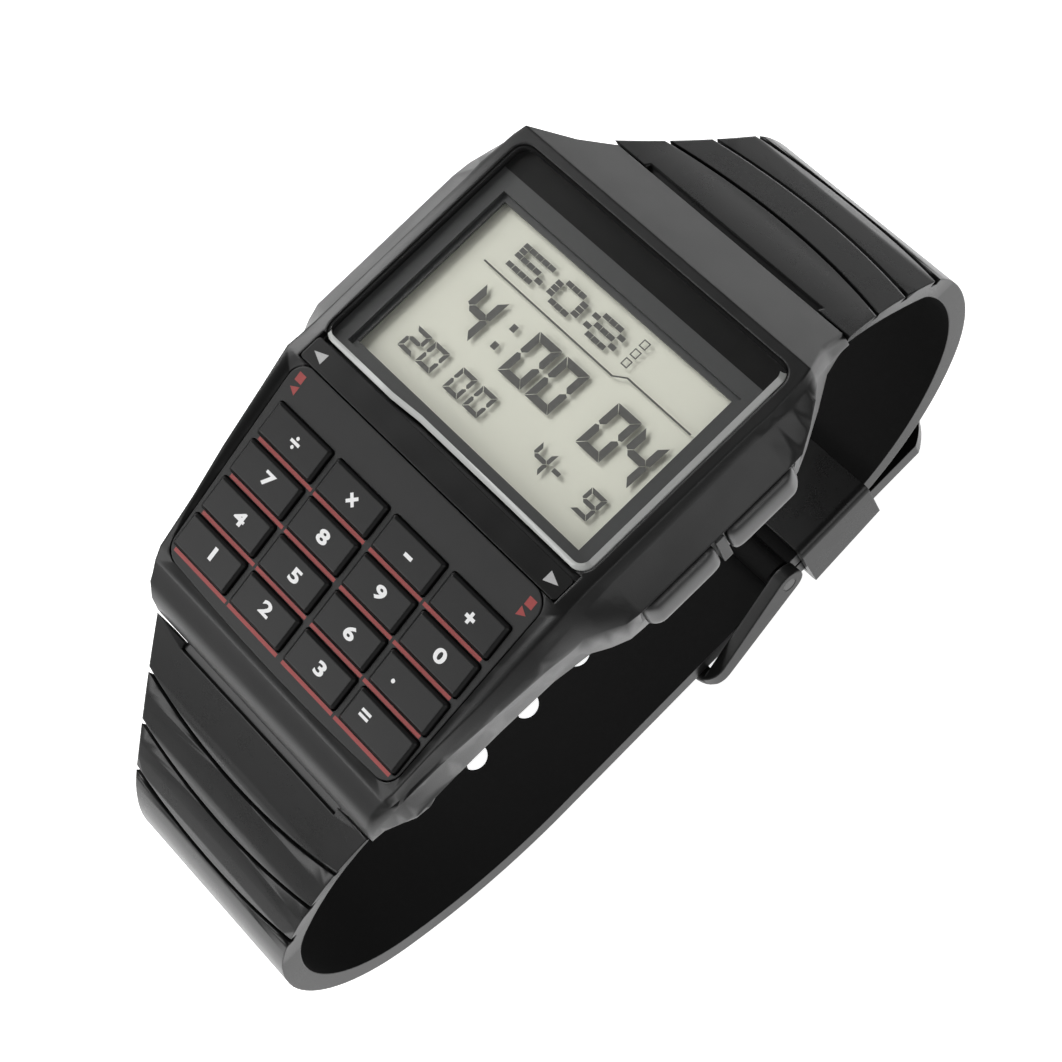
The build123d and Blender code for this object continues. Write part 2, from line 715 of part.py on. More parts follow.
def band_solid(stops, legs, thicknesses, side):
    """A strap's full-width slab between its outer path and an inner path at each thickness."""
    ends = [thicknesses[0]]
    for thick in thicknesses[1:]:
        ends += [(ends[-1] + thick) / 2, thick]
    outer = [place for place, _ in stops]
    inner = [p + side * thick * direction(a + 90) for (p, a), thick in zip(stops, ends)]
    edges = [Line(outer[0], inner[0]), Line(outer[-1], inner[-1])]
    for line in (outer, inner):
        for number, (_, turn) in enumerate(legs):
            first, middle, last = line[2 * number:2 * number + 3]
            edges.append(ThreePointArc(first, middle, last) if turn else Line(first, last))
    return extrude(Plane.YZ * make_face(edges), flank_half, both=True)


def strap_width(root_half, top_z, low_z):
    """The strap seen from its end: wide at the case, drawn in quickly, then nearly straight."""
    waist_z = top_z - waist_drop
    middle = ((root_half + waist_half) / 2 - strap_curve, top_z - waist_drop / 2)
    end_z = low_z - overrun
    edges = [Line((-root_half, top_z), (root_half, top_z)), Line((-back_half, end_z), (back_half, end_z))]
    for side in (1, -1):
        root, waist = (side * root_half, top_z), (side * waist_half, waist_z)
        edges.append(ThreePointArc(root, (side * middle[0], middle[1]), waist))
        edges += Polyline(waist, (side * back_half, low_z), (side * back_half, end_z)).edges()
    return extrude(Plane.XZ * make_face(edges), case_length, both=True)


def root_plane(start, heading, side):
    """Plane on the strap's outer face: local Y along the strap, local Z out of it."""
    along, out = direction(heading), -side * direction(heading + 90)
    return Plane(
        origin=(0, start.X, start.Y),
        x_dir=(-side, 0, 0),
        z_dir=(0, out.X, out.Y),
    )


def groove_blade(place, heading, side, half):
    """A bowed blade of V section that cuts one groove across the strap's outer face."""
    path = ThreePointArc((-half, 0), (0, groove_bow), (half, 0))
    wedge = make_face(Polyline(
        (-groove_width, groove_depth), (0, -groove_depth), (groove_width, groove_depth), close=True
    ))
    start_turn = Plane(origin=path @ 0, x_dir=(path % 0).cross(Vector(0, 0, 1)), z_dir=path % 0)
    return root_plane(place, heading, side) * sweep(start_turn * wedge, path)


def point_along(start, heading, legs, distance):
    """Point and heading at a distance along a path."""
    place, angle = start, heading
    for size, turn in legs:
        length = size * radians(abs(turn)) if turn else size
        if distance <= length:
            if turn:
                part = turn * distance / length
                chord = 2 * size * sin(radians(abs(part) / 2))
                return place + chord * direction(angle + part / 2), angle + part
            return place + distance * direction(angle), angle
        if turn:
            place = place + 2 * size * sin(radians(abs(turn) / 2)) * direction(angle + turn / 2)
            angle += turn
        else:
            place = place + size * direction(angle)
        distance -= length
    return place, angle


def add_root(strap, neck, bar, start, heading, side):
    """Square the strap's end to the case, cut the slot in front of it and join the barrel."""
    reach = case_half + root_gap
    strap -= block((-overrun, -reach, -overrun), (overrun, reach, start.Y + overrun)) & block(
        (-overrun, -overrun, start.Y - 2 * bar_drop_short), (overrun, overrun, overrun)
    )
    middle_half = lug_gap_half - neck_gap
    slot = block((-middle_half, -root_thick, -2 * root_thick), (middle_half, root_slot, 2 * root_thick))
    strap -= root_plane(start, heading, side) * slot
    strap += extrude(Plane.YZ * neck, middle_half, both=True)
    bore = Plane.YZ * (Pos(bar.X, bar.Y) * Circle(bar_radius + run_gap))
    return strap - extrude(bore, middle_half + overrun, both=True)


# Long strap, from 6 o'clock under the wrist to its tip
base_turn = 360 + tail_slope - (long_heading + long_side_turn + long_heel_turn)
long_bends = [
    (long_side_radius, long_side_turn), (long_heel_radius, long_heel_turn),
    (long_base_radius, base_turn),
]
base_end = walk(long_start, long_heading, long_bends)[-1][0]
tail_run = (tail_reach - base_end.X) / cos(radians(tail_slope))
long_legs = long_bends + [(tail_run, 0)]
long_stops = walk(long_start, long_heading, long_legs)
long_thicks = [root_thick, (root_thick + side_thick) / 2, side_thick, long_thick, long_thick]
strap_long = band_solid(long_stops, long_legs, long_thicks, 1)
strap_long &= strap_width(root_half_long, long_start.Y, base_end.Y)
tip_plan = Pos(0, tail_reach / 2) * RectangleRounded(2 * waist_half, tail_reach, tail_corner)
tail_plan = tip_plan + Pos(0, -case_length) * Rectangle(4 * waist_half, 2 * case_length + tail_reach)
strap_long &= prism(tail_plan, base_end.Y - overrun, overrun)

# Tail plane: local X along the tail to its tip, local Y towards the wrist
tail_zero_z = base_end.Y - base_end.X * tan(radians(tail_slope))
tail_plane = Plane(
    origin=(0, 0, tail_zero_z),
    x_dir=(0, cos(radians(tail_slope)), sin(radians(tail_slope))),
    z_dir=(1, 0, 0),
)
for number in range(-holes_behind, holes_ahead + 1):
    spot = Pos(tongue_hole_place + number * hole_pitch, 0, 0) * Rotation(90, 0, 0)
    strap_long -= tail_plane * (spot * Cylinder(hole_radius, 2 * (long_thick + side_thick)))
for number in range(groove_count):
    place, heading = point_along(long_start, long_heading, long_legs, (number + 1) * groove_pitch)
    strap_long -= groove_blade(place, heading, 1, root_half_long)
strap_long = add_root(strap_long, neck_long, bar_long, long_start, long_heading, 1)

# Short strap, from 12 o'clock; its last bend is sized to meet the tail's line
short_bends = [
    (short_run, 0), (short_knee_radius, -short_knee_turn), (short_side_radius, -short_side_turn),
]
bend_place, bend_heading = walk(short_start, short_heading, short_bends)[-1]
last_turn = 180 - tail_slope + bend_heading
out_of_tail = direction(tail_slope - 90)
layer_point = Vector(0, tail_zero_z) - (long_thick + layer_gap) * out_of_tail
last_radius = (layer_point - bend_place).dot(out_of_tail) / (1 - cos(radians(last_turn)))
short_bends.append((last_radius, -last_turn))
bend_end = walk(short_start, short_heading, short_bends)[-1][0]
pivot_height = long_thick + layer_gap + pin_radius + pivot_wall
last_run = (bend_end - layer_point).dot(direction(tail_slope)) - buckle_place
short_legs = short_bends + [(last_run, 0)]
short_stops = walk(short_start, short_heading, short_legs)
short_thicks = [root_thick, root_thick, (root_thick + side_thick) / 2, side_thick, short_thick, short_thick]
strap_short = band_solid(short_stops, short_legs, short_thicks, -1)
strap_short &= strap_width(root_half_short, short_start.Y, base_end.Y)
for number in range(groove_count):
    place, heading = point_along(short_start, short_heading, short_legs, (number + 1) * groove_pitch)
    strap_short -= groove_blade(place, heading, -1, root_half_short)
strap_short = add_root(strap_short, neck_short, bar_short, short_start, short_heading, -1)
pivot_spot = Pos(buckle_place, pivot_height)
end_barrel = extrude(tail_plane * (pivot_spot * Circle(pin_radius + pivot_wall)), back_half, both=True)
strap_short += end_barrel
strap_short -= extrude(tail_plane * (pivot_spot * Circle(pin_radius + part_gap)), overrun, both=True)
ring_radius = pin_radius + run_gap + tongue_sheet
tongue_notch = block(
    (buckle_place - pivot_height, long_thick, -tongue_half - tongue_side_gap),
    (buckle_place + ring_radius + tongue_side_gap, overrun, tongue_half + tongue_side_gap),
)
strap_short -= tail_plane * tongue_notch

# Buckle: frame, tongue and the pin they turn on
frame_half = back_half + frame_side_gap
bar_height = -(frame_bar_gap + frame_bar_radius)
ear = Pos(buckle_place, pivot_height) * Circle(ear_radius)
outer_bar = Pos(frame_bar_place, bar_height) * Circle(frame_bar_radius)
arm_profile = make_hull([*ear.edges(), *outer_bar.edges()])
buckle_frame = extrude(arm_profile, frame_half + frame_wall, both=True)
window_low = frame_bar_place + frame_bar_radius
frame_plan_length = buckle_place + ear_radius - frame_bar_place + frame_bar_radius
plan = RectangleRounded(2 * (frame_half + frame_wall), 2 * frame_plan_length, frame_corner)
window = block((window_low, -overrun, -frame_half), (overrun, overrun, frame_half))
buckle_frame -= window
buckle_frame -= block((-overrun, -frame_bar_gap, -frame_half), (overrun, overrun, frame_half))
plan_turn = Pos(frame_bar_place - frame_bar_radius + frame_plan_length, 0, 0) * Rotation(90, 0, 0)
buckle_frame &= plan_turn * (Rotation(0, 0, 90) * Pos(0, 0, -overrun) * extrude(plan, 2 * overrun))
buckle_frame -= pivot_spot * extrude(Circle(pin_radius + run_gap), overrun, both=True)
buckle_frame -= block(
    (-overrun, -overrun, -tongue_half - tongue_side_gap),
    (window_low, -frame_bar_gap - frame_notch + tongue_side_gap, tongue_half + tongue_side_gap),
)
buckle_frame = tail_plane * buckle_frame
floor_z = buckle_frame.bounding_box().min.Z + frame_flat
buckle_frame -= block((-overrun, -overrun, floor_z - overrun), (overrun, overrun, floor_z))

tongue_low = -(frame_bar_gap + frame_notch - tongue_side_gap + tongue_gap + tongue_thick / 2)
knee_height = long_thick + layer_gap + tongue_thick
crank = (knee_height - tongue_low) * tan(radians(tongue_lean))
middle_share = (knee_height - long_thick / 2) / (knee_height - tongue_low)
knee_place = tongue_hole_place + crank * middle_share
tongue_path = FilletPolyline(
    (buckle_place, pivot_height), (knee_place, knee_height),
    (knee_place - crank, tongue_low), (frame_bar_place - tongue_overhang, tongue_low),
    radius=tongue_knee,
)
start_turn = Plane(origin=tongue_path @ 0, x_dir=(0, 0, 1), z_dir=tongue_path % 0)
tongue_section = start_turn * Rectangle(2 * tongue_half, tongue_thick)
buckle_tongue = sweep(tongue_section, tongue_path)
buckle_tongue += pivot_spot * extrude(Circle(ring_radius), tongue_half, both=True)
buckle_tongue -= pivot_spot * extrude(Circle(pin_radius + run_gap), overrun, both=True)
buckle_tongue = tail_plane * buckle_tongue
pin_half = frame_half + frame_wall - part_gap
buckle_pin = extrude(tail_plane * (pivot_spot * Circle(pin_radius)), pin_half, both=True)

# Keeper loop round both layers of the strap
keeper_end = keeper_place + keeper_length
ceiling = long_thick + layer_gap + short_thick + keeper_headroom
keeper_half = back_half + keeper_gap
keeper_points = [
    (keeper_place, -keeper_gap - keeper_ridge), (keeper_end, -keeper_gap - keeper_wall / 2),
    (keeper_end, ceiling + keeper_wall), (keeper_place, ceiling + keeper_wall),
]
keeper_loop = extrude(make_face(Polyline(*keeper_points, close=True)), keeper_half + keeper_wall, both=True)
keeper_loop -= block((keeper_place - overrun, -keeper_gap, -keeper_half), (overrun, ceiling, keeper_half))
long_edges = [
    edge for edge in keeper_loop.edges()
    if edge.length > keeper_length - part_gap and abs(edge.center().Z) > keeper_half + part_gap
]
keeper_loop = tail_plane * fillet(long_edges, keeper_round)

# Sprung bars that hold the straps between the lugs
bars = []
for bar in (bar_short, bar_long):
    spot = Plane.YZ * Pos(bar.X, bar.Y)
    middle = extrude(Circle(bar_radius), lug_gap_half - part_gap, both=True)
    tips = extrude(Circle(bar_tip_radius), lug_gap_half + bar_tip_length, both=True)
    bars.append((spot * (middle + tips)))

pieces = {
    "case_body": case_body,
    "crystal": crystal,
    "crystal_gasket": crystal_gasket,
    "display_mask": display_mask,
    "lcd_panel": lcd_panel,
    "backlight_panel": backlight_panel,
    "band_strip": band_strip,
    "keypad_plate": keypad_plate,
    "key_membrane": key_membrane,
    "key_contact_sheet": key_contact_sheet,
    "module_frame": module_frame,
    "connector_strips": Compound(children=connectors),
    "circuit_board": circuit_board,
    "control_chip": control_chip,
    "quartz_can": quartz_can,
    "battery": battery,
    "battery_clip": battery_clip,
    "buzzer_disc": buzzer_disc,
    "side_contacts": Compound(children=leaves),
    "button_seals": Compound(children=seals),
    "case_back": case_back,
    "case_back_gasket": case_back_gasket,
    "case_back_screws": Compound(children=screws),
    "strap_spring_bars": Compound(children=bars),
    "strap_long": strap_long,
    "strap_short": strap_short,
    "buckle_frame": buckle_frame,
    "buckle_tongue": buckle_tongue,
    "buckle_pin": buckle_pin,
    "keeper_loop": keeper_loop,
}
pieces.update(keys)
button_places = ["upper_right", "upper_left", "lower_right", "lower_left"]
for place, button, clip in zip(button_places, buttons, clips):
    pieces["button_" + place] = button
    pieces["button_clip_" + place] = clip

# The origin lies on the floor, midway between the ends of the strap loop.
loop_middle = (strap_short.bounding_box().max.Y + strap_long.bounding_box().min.Y) / 2
stand = Pos(0, -loop_middle, -floor_z)
os.makedirs("parts", exist_ok=True)
for name, solid in pieces.items():
    export_step(stand * solid, "parts/" + name + ".step")
print("case length", round(case_length, 2), "lift", round(-floor_z, 3), "shift", round(-loop_middle, 3))
print("last bend radius", round(last_radius, 2), "last run", round(last_run, 2))
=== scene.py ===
# %% [markdown]
# # A resin calculator watch
# The watch stands buckled on its own strap, as it does in a shop window. The CAD model gives
# every piece its place and size. This notebook gives the pieces their finish, smooths the
# curved resin, rounds the side buttons, and adds the printing and the display's segments.
# `mm` turns drawing sizes into the metres that Blender works in, and `on_head` places what
# belongs to the head, which is measured from the level of the crystal's top.

import bmesh
import bpy
import numpy as np
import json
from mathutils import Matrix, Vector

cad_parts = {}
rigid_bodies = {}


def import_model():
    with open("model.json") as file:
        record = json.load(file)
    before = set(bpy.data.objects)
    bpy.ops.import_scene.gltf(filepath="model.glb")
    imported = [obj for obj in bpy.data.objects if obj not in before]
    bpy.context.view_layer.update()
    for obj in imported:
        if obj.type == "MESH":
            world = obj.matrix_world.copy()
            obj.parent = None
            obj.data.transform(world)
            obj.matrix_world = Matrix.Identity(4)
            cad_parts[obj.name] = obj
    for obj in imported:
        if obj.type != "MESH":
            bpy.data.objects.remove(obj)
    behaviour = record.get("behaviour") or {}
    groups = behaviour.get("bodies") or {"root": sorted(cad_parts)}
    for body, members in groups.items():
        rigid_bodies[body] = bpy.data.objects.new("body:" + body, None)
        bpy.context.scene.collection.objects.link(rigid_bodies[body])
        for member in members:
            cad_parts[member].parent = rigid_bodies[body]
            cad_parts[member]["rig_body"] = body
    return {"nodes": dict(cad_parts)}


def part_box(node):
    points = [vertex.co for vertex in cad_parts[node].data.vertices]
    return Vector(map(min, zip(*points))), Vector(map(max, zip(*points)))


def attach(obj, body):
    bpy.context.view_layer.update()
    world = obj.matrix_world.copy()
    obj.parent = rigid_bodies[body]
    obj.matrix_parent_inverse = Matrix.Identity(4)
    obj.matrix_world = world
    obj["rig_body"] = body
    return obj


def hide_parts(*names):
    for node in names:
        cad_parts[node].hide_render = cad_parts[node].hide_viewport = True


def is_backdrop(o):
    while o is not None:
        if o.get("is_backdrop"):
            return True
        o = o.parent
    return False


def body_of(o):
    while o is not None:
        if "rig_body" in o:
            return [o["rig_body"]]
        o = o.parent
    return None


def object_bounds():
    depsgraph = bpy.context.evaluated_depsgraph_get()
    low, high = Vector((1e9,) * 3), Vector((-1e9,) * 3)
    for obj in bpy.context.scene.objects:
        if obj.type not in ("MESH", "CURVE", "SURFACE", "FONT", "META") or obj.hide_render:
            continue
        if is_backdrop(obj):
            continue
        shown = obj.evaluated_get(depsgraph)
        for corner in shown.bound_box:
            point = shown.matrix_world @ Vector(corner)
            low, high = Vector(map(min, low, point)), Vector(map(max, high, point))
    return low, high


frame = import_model()
cad_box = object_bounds()
nodes = frame["nodes"]
mm = 0.001
crystal_low, crystal_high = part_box("crystal")
crystal_top_y = 18.709
head_y = crystal_high.y / mm - crystal_top_y
head_z = crystal_high.z / mm
print("head zero at", round(head_y, 3), round(head_z, 3), "mm")


def on_head(points):
    """Head places in mm, X to 3 o'clock, Y to 12 and Z up from the crystal's top, as metres."""
    return (np.asarray(points, float) + (0, head_y, head_z)) * mm


# %% [markdown]
# ## Camera
# The photograph looks down on the head from the 3 o'clock side with a long lens, turned so
# that 12 o'clock points up and to the right. The camera's place and its three axes were
# solved from corners of the case, so the render can be laid over the photograph.

# %% Camera
camera_spot = (0.086748, -0.015205, 0.204484)
camera_right = np.array([0.64986, 0.71639, -0.2539])
camera_up = np.array([-0.62264, 0.69337, 0.36271])
camera_data = bpy.data.cameras.new("camera")
camera_data.lens, camera_data.sensor_width = 88.46, 36
camera_data.clip_start = 0.01
camera = bpy.data.objects.new("camera", camera_data)
turned = np.eye(4)
turned[:3, 0], turned[:3, 1] = camera_right, camera_up
turned[:3, 2] = np.cross(camera_right, camera_up)
turned[:3, 3] = camera_spot
bpy.context.scene.collection.objects.link(camera)
camera.matrix_world = turned.T.tolist()
bpy.context.scene.camera = camera
bpy.context.scene.view_settings.view_transform = "Standard"
print("camera lens", camera_data.lens, "mm at", camera_spot)

# %% [markdown]
# ## Shader maths
# A moulded surface changes a little everywhere, so its colour, roughness and bumps are worked
# out in nodes. `Wire` wraps an output socket so that the sums read as plain Python, and
# `Finish` is one material: its `node` method makes any node and applies the settings first.

# %% Wire and Finish
bevel_samples, full_wear_turn = 6, 0.2


class Wire:
    """An output socket that can be added, taken away and multiplied."""

    def __init__(self, finish, socket):
        self.finish, self.socket = finish, socket

    def maths(self, operation, first, second):
        return self.finish.node("ShaderNodeMath", {"operation": operation}, {0: first, 1: second})

    def __add__(self, other):
        return self.maths("ADD", self, other)

    def __sub__(self, other):
        return self.maths("SUBTRACT", self, other)

    def __rsub__(self, other):
        return self.maths("SUBTRACT", other, self)

    def __mul__(self, other):
        return self.maths("MULTIPLY", self, other)

    __radd__, __rmul__ = __add__, __mul__


class Finish:
    """One material. Plain values are set on its shader; wires are linked to it."""

    def __init__(self, name, **values):
        self.material = bpy.data.materials.new(name)
        self.material.use_nodes = True
        self.tree = self.material.node_tree
        self.shader = self.tree.nodes["Principled BSDF"]
        self.set(self.shader, values)

    def set(self, node, values):
        for key, value in values.items():
            name = key.replace("_", " ") if isinstance(key, str) else key
            socket = node.inputs[name]
            if isinstance(value, Wire):
                self.tree.links.new(value.socket, socket)
            else:
                socket.default_value = value

    def node(self, kind, settings=None, values=None, output=0):
        made = self.tree.nodes.new(kind)
        for key, value in (settings or {}).items():
            if key == "stops":
                ramp = made.color_ramp.elements
                for stop, (place, colour) in enumerate(value):
                    element = ramp[stop] if stop < 2 else ramp.new(place)
                    element.position, element.color = place, colour
            else:
                setattr(made, key, value)
        self.set(made, values or {})
        return Wire(self, made.outputs[output])

    def place(self):
        """Where a point of the piece is, in metres."""
        return self.node("ShaderNodeTexCoord", output="Object")

    def noise(self, size, detail=3.0):
        """Cloudy values from 0 to 1 whose spots are about size mm across."""
        return self.node("ShaderNodeTexNoise", values={
            "Vector": self.place(), "Scale": 1 / (size * mm), "Detail": detail})

    def soft_edge(self, radius):
        """The surface direction with its edges rounded by radius mm, as a mould leaves them."""
        return self.node("ShaderNodeBevel", {"samples": bevel_samples}, {"Radius": radius * mm})

    def edges(self, radius):
        """1 on worn edges and 0 on flat faces: how far the rounded direction turns away."""
        flat = self.node("ShaderNodeNewGeometry", output="Normal")
        turn = self.node("ShaderNodeVectorMath", {"operation": "DOT_PRODUCT"},
                         {0: self.soft_edge(radius), 1: flat}, output="Value")
        return self.node("ShaderNodeMapRange", values={"Value": 1 - turn, "From Max": full_wear_turn})

    def blend(self, share, first, second):
        """A colour between two colours."""
        return self.node("ShaderNodeMix", {"data_type": "RGBA"},
                         {0: share, 6: first, 7: second}, output=2)

    def bump(self, height, depth, normal=None):
        """Small relief of depth mm from values of 0 to 1."""
        values = {"Height": height, "Distance": depth * mm, "Strength": 1.0}
        if normal:
            values["Normal"] = normal
        return self.node("ShaderNodeBump", values=values)


def grey(value, warm=0.0):
    """A neutral colour, a little warm or cold."""
    return (value * (1 + warm), value, value * (1 - warm), 1)


# %% [markdown]
# ## Moulded resin
# Case, keys, plate and straps are the same family of black resin, and only their mould
# differs: the case is satin with a fine spark texture, the plate is the mattest outer part, and
# the strap is a soft resin that picks up a low shine. One function makes them all, with rounded
# edges that are slightly paler and smoother, because they are touched most.

# %% Resin finishes
cloud_size, grain_detail, worn_paler = 2.6, 2.0, 2.6
cloud_rough, grain_rough, usual_rough, worn_smooth = 0.08, 0.05, 0.06, 0.08


def resin(name, colour, rough, grain_size, grain_depth, edge, wear, shine=0.3):
    """A black moulded resin: cloudy colour, fine grain, rounded and slightly worn edges.

    The grain's size and depth and the edge's radius are in mm. Wear and shine are shares."""
    made = Finish(name, Specular_IOR_Level=shine)
    cloud, fine = made.noise(cloud_size), made.noise(grain_size, grain_detail)
    worn = made.edges(edge) * wear
    darker, lighter = grey(colour * 0.8, -0.01), grey(colour * 1.2, 0.01)
    base = made.blend(cloud, darker, lighter)
    made.set(made.shader, {
        "Base Color": made.blend(worn, base, grey(colour * worn_paler)),
        "Roughness": cloud * cloud_rough + fine * grain_rough + (rough - usual_rough) - worn * worn_smooth,
        "Normal": made.bump(fine, grain_depth, made.soft_edge(edge)),
    })
    return made


case_resin = resin("case_resin", 0.008, 0.35, 0.09, 0.005, 0.25, 0.6, 0.34)
# Painted light: the buttons' resin is the case's, with a paler colour, since their outer faces turn to the
# lamps.
button_resin = resin("button_resin", 0.014, 0.34, 0.09, 0.004, 0.5, 0.7, 0.6)
strap_resin = resin("strap_resin", 0.005, 0.28, 0.12, 0.004, 0.2, 0.5, 0.28)
strap_inner = resin("strap_inner", 0.003, 0.7, 0.3, 0.01, 0.1, 0.2, 0.1)
key_resin = resin("key_resin", 0.007, 0.38, 0.08, 0.004, 0.12, 0.7)
plate_resin = resin("plate_resin", 0.014, 0.42, 0.07, 0.004, 0.15, 0.5)
strip_resin = resin("strip_resin", 0.007, 0.30, 0.07, 0.002, 0.1, 0.4)
print("resins:", len(bpy.data.materials))

# %% [markdown]
# ## Clear crystal and clear display glass
# The crystal is a clear acrylic pane. Real refraction would darken the display under it, since
# the light has to come in through the same pane, so a clear piece is made as a thin film
# instead: transparent, with a polished reflection that grows towards grazing angles. Only
# faces seen from outside reflect, because a pane's far side would otherwise act as a mirror.
# The bevel's faces along the crystal's lower and right edges get a painted highlight, a pale
# finish, and its other bevel faces and its wall get a painted shade, a dark finish.

# %% Clear finishes
acrylic_index = 1.45


def clear(name, tint, rough):
    """A clear film: transparent and glossy, mixed by the angle at which it is seen."""
    made = Finish(name)
    shine = made.node("ShaderNodeBsdfGlossy", values={"Color": (1, 1, 1, 1), "Roughness": rough})
    through = made.node("ShaderNodeBsdfTransparent", values={"Color": tint})
    facing = made.node("ShaderNodeFresnel", values={"IOR": acrylic_index})
    inner = made.node("ShaderNodeNewGeometry", output="Backfacing")
    share = facing * (1 - inner)
    mixed = made.node("ShaderNodeMixShader", values={0: share, 1: through, 2: shine})
    made.set(made.tree.nodes["Material Output"], {"Surface": mixed})
    made.tree.nodes.remove(made.shader)
    return made


crystal_clear = clear("crystal_clear", (0.985, 0.985, 0.98, 1), 0.03)
display_glass = clear("display_glass", (0.97, 0.97, 0.955, 1), 0.12)
# Painted highlight: a pale, mostly opaque finish for the bevel along the lower and right edges.
crystal_rim_painted_highlight = Finish("crystal_rim_painted_highlight", Base_Color=(0.58, 0.59, 0.57, 1), Alpha=0.8)
rim_cloud = crystal_rim_painted_highlight.noise(0.5)
crystal_rim_painted_highlight.set(crystal_rim_painted_highlight.shader, {
    "Roughness": rim_cloud * 0.1 + 0.14, "Normal": crystal_rim_painted_highlight.bump(rim_cloud, 0.004)})
# Painted shade: a dark, mostly clear finish for the rest of the bevel and for the wall.
crystal_wall_painted_shade = Finish("crystal_wall_painted_shade", Base_Color=(0.05, 0.05, 0.05, 1), Alpha=0.3)
crystal_wall_painted_shade.set(crystal_wall_painted_shade.shader, {"Roughness": crystal_wall_painted_shade.noise(0.5) * 0.1 + 0.2})
print("with clear finishes:", len(bpy.data.materials))

# %% [markdown]
# ## Printed films, display and metal
# The mask behind the crystal is a grey printed film with a black band, the display's back is a
# pearly reflector, and the buckle's pin is darker steel than the spring bars. Each has a little
# unevenness of its own, since a flat colour never looks like a material.

# %% Films and metals
film_relief, metal_relief, lines_per_metre = 0.002, 0.001, 9000.0
along_x = (0.05, 1, 1)


def film(name, dark, light, rough, size=0.4, warm=0.0):
    """A printed film: two close tones clouded together, with a faint orange-peel relief."""
    made = Finish(name)
    cloud = made.noise(size)
    made.set(made.shader, {
        "Base Color": made.blend(cloud, grey(dark, warm), grey(light, warm)),
        "Roughness": cloud * 0.1 + (rough - 0.05),
        "Normal": made.bump(made.noise(size / 3), film_relief),
    })
    return made


def metal(name, value, rough, stretch=(1, 1, 1)):
    """A drawn or pressed metal: fine lines along one direction."""
    made = Finish(name, Metallic=1.0)
    lines = made.node("ShaderNodeMapping", values={"Vector": made.place(), "Scale": stretch})
    streak = made.node("ShaderNodeTexNoise", values={
        "Vector": lines, "Scale": lines_per_metre, "Detail": grain_detail})
    made.set(made.shader, {
        "Base Color": made.blend(streak, grey(value * 0.85), grey(value)),
        "Roughness": streak * 0.15 + (rough - 0.07),
        "Normal": made.bump(streak, metal_relief),
    })
    return made


mask_print = film("mask_print", 0.045, 0.055, 0.5, warm=-0.03)
mask_black = film("mask_black", 0.004, 0.005, 0.4, 1.5)
mask_black.set(mask_black.shader, {"Specular IOR Level": 0.15})
pearl = Finish("pearl_reflector", Roughness=0.6)
pearl_cloud = pearl.noise(0.12)
pearl.set(pearl.shader, {
    "Base Color": pearl.blend(pearl_cloud, (0.9, 0.905, 0.82, 1), (0.93, 0.935, 0.85, 1)),
    "Normal": pearl.bump(pearl_cloud, film_relief),
})
segment_ink = film("segment_ink", 0.1, 0.11, 0.5, 0.3)
white_ink = film("white_ink", 0.78, 0.85, 0.5, 0.15)
silver_ink = film("silver_ink", 0.4, 0.5, 0.45, 0.12)
red_ink = Finish("red_ink", Roughness=0.45)
red_cloud = red_ink.noise(0.2)
red_ink.set(red_ink.shader, {
    "Base Color": red_ink.blend(red_cloud, (0.26, 0.026, 0.024, 1), (0.33, 0.034, 0.03, 1)),
    "Normal": red_ink.bump(red_cloud, 0.004),
})
steel = metal("steel", 0.55, 0.28, along_x)
dark_steel = metal("dark_steel", 0.12, 0.35, along_x)
spring_steel = metal("spring_steel", 0.5, 0.22, along_x)
seal_rubber = film("seal_rubber", 0.008, 0.012, 0.7, 0.2)
membrane_rubber = film("membrane_rubber", 0.05, 0.06, 0.7, 0.2)
board_green = film("board_green", 0.02, 0.03, 0.4, 0.5)
module_plastic = film("module_plastic", 0.5, 0.55, 0.5, 0.5)
brass = metal("brass", 0.6, 0.3)
print("with films and metals:", len(bpy.data.materials))

# %% [markdown]
# ## Dressing the CAD pieces
# Most CAD nodes keep their own mesh and only get a finish. The record names a material slot
# for each node, so most of the finishes follow from the slot. The keypad plate, the buckle's
# pin and the side buttons differ.

# %% Give each CAD node its finish
slot_finish = {
    "black_resin": case_resin, "strap_resin": strap_resin, "gloss_black": strip_resin,
    "key_black": key_resin, "crystal_clear": crystal_clear, "mask_print": mask_print,
    "lcd_glass": display_glass, "reflector": pearl, "steel": steel, "spring_steel": spring_steel,
    "seal_rubber": seal_rubber, "membrane_rubber": membrane_rubber, "board_green": board_green,
    "contact_film": brass, "module_plastic": module_plastic, "chip_black": seal_rubber,
    "brass": brass,
}
side_buttons = [f"button_{row}_{side}" for row in ("upper", "lower") for side in ("right", "left")]
special = {"keypad_plate": plate_resin, "buckle_pin": dark_steel}
special.update({name: button_resin for name in side_buttons})
slots = {name: node.data.materials[0].name.split(".")[0] for name, node in nodes.items()}
finishes = {name: special.get(name) or slot_finish[slots[name]] for name in nodes}
for name, node in nodes.items():
    node.data.materials.clear()
    node.data.materials.append(finishes[name].material)
print("dressed", len(nodes), "nodes")

# %% [markdown]
# ## Smooth copies of the moulded pieces
# A CAD mesh arrives as loose flat triangles, and a curved strap would show every one. So the
# curved pieces are copied, their corners are joined, triangles of one plane become one face,
# and faces that meet at a small angle are shaded as one surface, with the larger face leading.
# Edges that turn more stay sharp, and the finish rounds them a little.

# %% Join and smooth
same_point, no_length = 1e-7, 1e-6
flat_turn, sharp_turn = np.radians(0.1), np.radians(30.0)


def link_piece(piece, body):
    """Puts a finished object into the scene, on a body of the watch."""
    bpy.context.scene.collection.objects.link(piece)
    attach(piece, body)
    return piece


